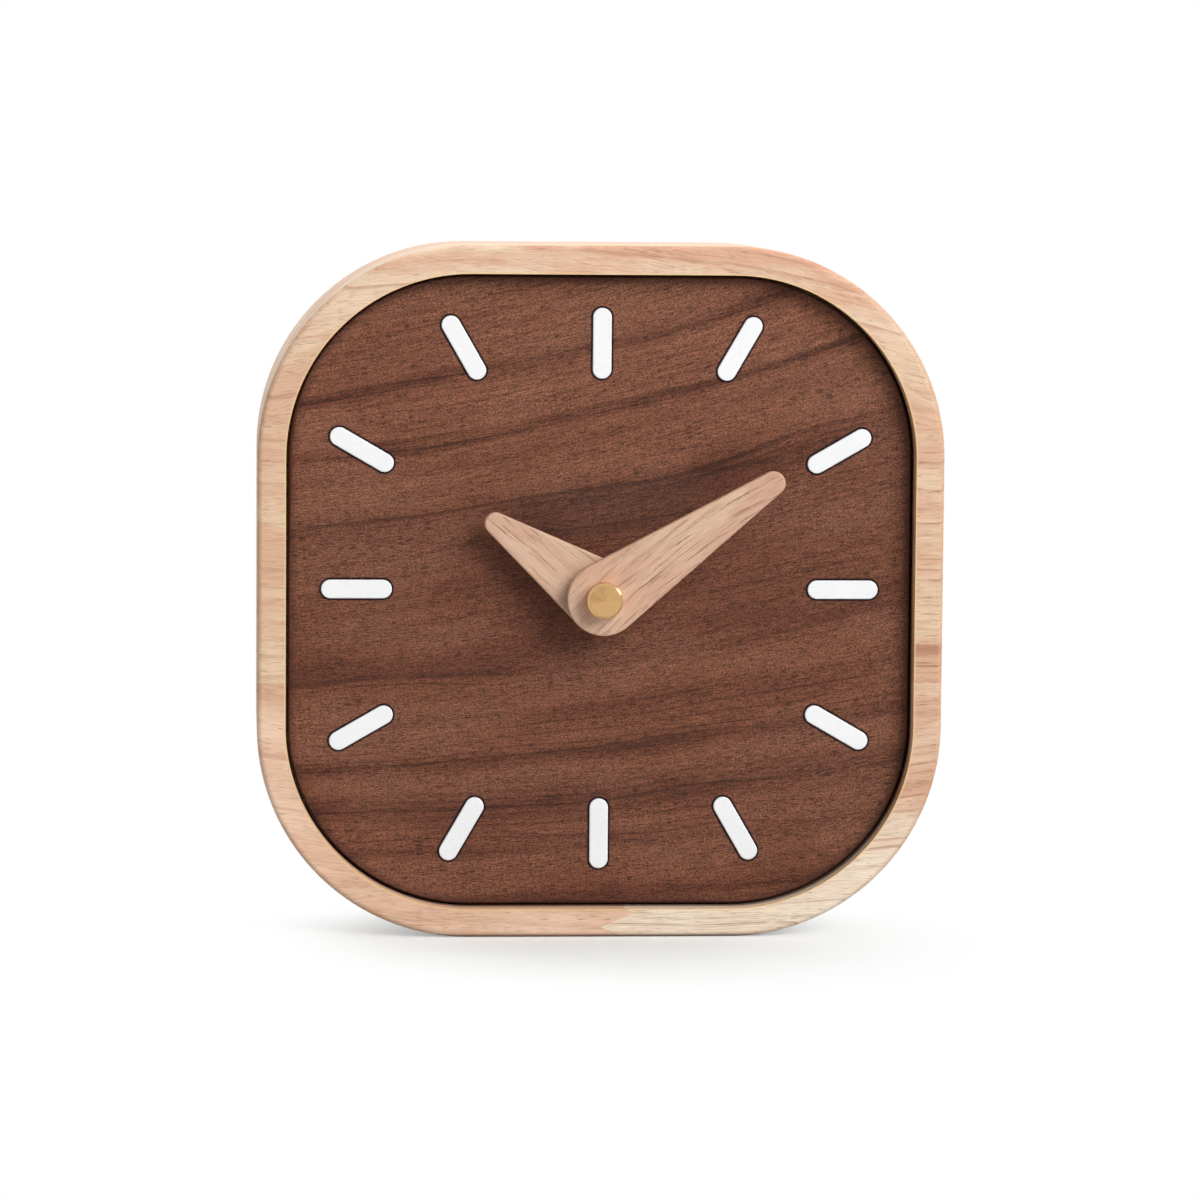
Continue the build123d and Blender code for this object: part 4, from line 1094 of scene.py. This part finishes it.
def battery_sleeve():
    material, place = new_finish("printed battery sleeve", Coat_Weight=0.5)
    x, y, z = split(vector("SUBTRACT", place, cell_middle))
    skin = place_effect(moulded_skin, Place=place, Grain=0.3)
    bare = maths("MAXIMUM", cut_edge(x, sleeve_from, 1.0, 0.0), cut_edge(x, sleeve_to))
    radius = vector("LENGTH", join(0.0, y, z))
    bare = bare * cut_edge(radius, sleeve_turns_in, 1.0, 0.0)
    band = cut_edge(x, band_from)
    line = band * cut_edge(x, line_to, 1.0, 0.0)
    cloud = step(skin["Cloud"], 0.3, 0.7)
    body = mix(cloud, paint(44, 62, 84), paint(50, 70, 94))
    tip = mix(cloud, paint(186, 190, 192), paint(198, 202, 204))
    colour = mix(line, mix(band, body, tip), paint(236, 236, 232))
    colour = mix(bare, colour, paint(188, 188, 184))
    rough = step(skin["Skin"], 0.3, 0.7, 0.28, 0.4)
    return dress(material, colour, rough, skin["Skin"], depth_mm=0.01, strength=0.4, Metallic=bare)


wear(battery_sleeve(), "battery")

# %% [markdown]
# ## The floor
#
# The clock stands on a white sheet that runs on out of sight. A studio gets pure white
# by lighting the sheet a little more than the subject. Here the rays that come from the
# camera find the floor slightly lifted, and it fades into a plain white, close beside
# and behind the clock and ten centimetres in front of it. So the soft shadow at the foot
# stays and no horizon shows. The light that the sheet throws back at the clock is held
# down, or it would wash out the hands' shadows.

# %% Which rays look at a surface
def looking_rays(tree):
    """1 for camera, mirror and glass rays, and 0 for light that only bounces about."""
    ray = wires_of(add_node(tree, "ShaderNodeLightPath"))
    looking = maths("MAXIMUM", ray["Is Camera Ray"], ray["Is Glossy Ray"])
    return maths("MAXIMUM", looking, ray["Is Transmission Ray"])


# %% White floor
fade_from, fade_to = 10.0, 94.0
fade_beside, fade_behind, fade_before = 1.3, 2.0, 0.95


def white_sheet():
    material = bpy.data.materials.new("white floor")
    material.use_nodes = True
    tree = material.node_tree
    tree.nodes.remove(tree.nodes["Principled BSDF"])
    place = place_in_mm(tree)
    fleck = noise(stretch(place, 0.05, 0.05, 0.05))
    colour = mix(step(fleck, 0.3, 0.7), paint(234, 237, 236), paint(236, 239, 238))
    paper = wire_from("ShaderNodeBsdfDiffuse", {"Color": colour})
    lift = add_node(tree, "ShaderNodeEmission")
    lift.inputs["Strength"].default_value = 0.12
    lifted = wire_from("ShaderNodeAddShader", {0: paper, 1: Wire(lift.outputs[0])})
    plain_white = Wire(add_node(tree, "ShaderNodeEmission").outputs[0])
    x, y, _ = split(vector("SUBTRACT", place, (0.0, ring_front, 0.0)))
    behind_or_before = maths("MAXIMUM", y * fade_behind, y * -fade_before)
    away = vector("LENGTH", join(x * fade_beside, behind_or_before, 0.0))
    fade = step(away, fade_from, fade_to)
    seen = wire_from("ShaderNodeMixShader", {0: fade, 1: lifted, 2: plain_white})
    bounce = add_node(tree, "ShaderNodeBsdfDiffuse")
    bounce.inputs["Color"].default_value = paint(188, 190, 190)
    sockets = {0: looking_rays(tree), 1: Wire(bounce.outputs[0]), 2: seen}
    surface = wire_from("ShaderNodeMixShader", sockets)
    plug(tree.nodes["Material Output"].inputs["Surface"], surface)
    return material


sheet_half = 4.0
corners = [(-1, -1), (1, -1), (1, 1), (-1, 1)]
sheet_corners = [(x * sheet_half, y * sheet_half, 0.0) for x, y in corners]
sheet_mesh = bpy.data.meshes.new("floor")
sheet_mesh.from_pydata(sheet_corners, [], [(0, 1, 2, 3)])
sheet_mesh.materials.append(white_sheet())
floor = bpy.data.objects.new("floor", sheet_mesh)
bpy.context.scene.collection.objects.link(floor)
print("floor", sheet_half * 2, "m square")

# %% [markdown]
# ## Light
#
# One large soft lamp stands in front, to the right and well above the clock. It throws
# the hands' soft shadows down to the left and leaves the right-hand wall of the opening
# dark. A second hangs behind and above, a little to the left, for the ring's outer side
# and the shadow in front of the foot. A small one in line with the dial, up on the
# right, lights the cap's bevel and the lower and left edges of the opening.
#
# The white room does the rest. Camera, mirror and glass rays see it as plain white. The
# light that reaches the wood from it is weaker, so that a colour comes out about as it
# is written, and weakest from the left and behind.

# %% The room
room_light, room_dark = 0.36, 0.2
bright_side = (0.85, -0.35, 0.39)
world = bpy.data.worlds.new("white room")
bpy.context.scene.world = world
world.use_nodes = True
room = world.node_tree
for node in list(room.nodes):
    room.nodes.remove(node)
towards = wires_of(add_node(room, "ShaderNodeTexCoord"))["Generated"]
towards_bright = vector("DOT_PRODUCT", towards, bright_side)
room_level = step(towards_bright, -0.9, 0.8, room_dark, room_light)
sockets = {"Value": looking_rays(room), "To Min": room_level, "To Max": 1.0}
brightness = wire_from("ShaderNodeMapRange", sockets, "Result")
sockets = {"Strength": brightness, "Color": (1.0, 1.0, 1.0, 1.0)}
shine = wire_from("ShaderNodeBackground", sockets)
plug(add_node(room, "ShaderNodeOutputWorld").inputs["Surface"], shine)
print("room light from", room_dark, "to", room_light)


# %% The lamps
def soft_lamp(name, place, aim, size, power):
    light = bpy.data.lights.new(name, "AREA")
    light.shape = "SQUARE"
    light.size = size
    light.energy = power
    lamp = bpy.data.objects.new(name, light)
    lamp.location = place
    lamp.rotation_euler = (Vector(aim) - Vector(place)).to_track_quat("-Z", "Y").to_euler()
    bpy.context.scene.collection.objects.link(lamp)
    print(name, "at", place, "with", power, "W")
    return lamp


soft_lamp("window lamp", (0.8, -1.15, 0.82), (0.0, 0.0, 0.06), 0.85, 20.6)
back_lamp = soft_lamp("bright wall behind", (-0.4, 0.55, 1.15), (0.0, 0.0, 0.06), 1.2, 13.0)
back_lamp.visible_glossy = False
soft_lamp("edge lamp", (0.86, 0.02, 0.56), (0.0, -0.02, 0.06), 0.36, 1.4)

# %% [markdown]
# ## Camera
#
# The photograph was taken almost from the front, a little from the left and from above,
# with a long lens. The angles and the lens were found by laying the corners of the
# ring, the bars and the tips of the hands over the photograph. The matrix is built from
# those angles, with a slight roll.

# %% Place the camera
view_azimuth = math.radians(-4.122)
view_elevation = math.radians(5.049)
view_roll = math.radians(0.447)
view_distance = 0.9
view_target = Vector((0.00112, 0.0, 0.0576))
lens_mm = 151.36

backward = Vector((
    math.sin(view_azimuth) * math.cos(view_elevation),
    -math.cos(view_azimuth) * math.cos(view_elevation),
    math.sin(view_elevation),
))
level = Vector((0.0, 0.0, 1.0)).cross(backward).normalized()
upright = backward.cross(level)
rightward = math.cos(view_roll) * level + math.sin(view_roll) * upright
upward = math.cos(view_roll) * upright - math.sin(view_roll) * level
camera_data = bpy.data.cameras.new("camera")
camera_data.lens = lens_mm
camera_data.sensor_width = 36.0
camera_data.clip_start = 0.01
camera = bpy.data.objects.new("camera", camera_data)
facing = Matrix((rightward, upward, backward)).transposed().to_4x4()
camera.matrix_world = Matrix.Translation(view_target + backward * view_distance) @ facing
bpy.context.scene.collection.objects.link(camera)
bpy.context.scene.camera = camera
bpy.context.scene.view_settings.view_transform = "Standard"
print("camera at", tuple(round(value, 4) for value in camera.location))
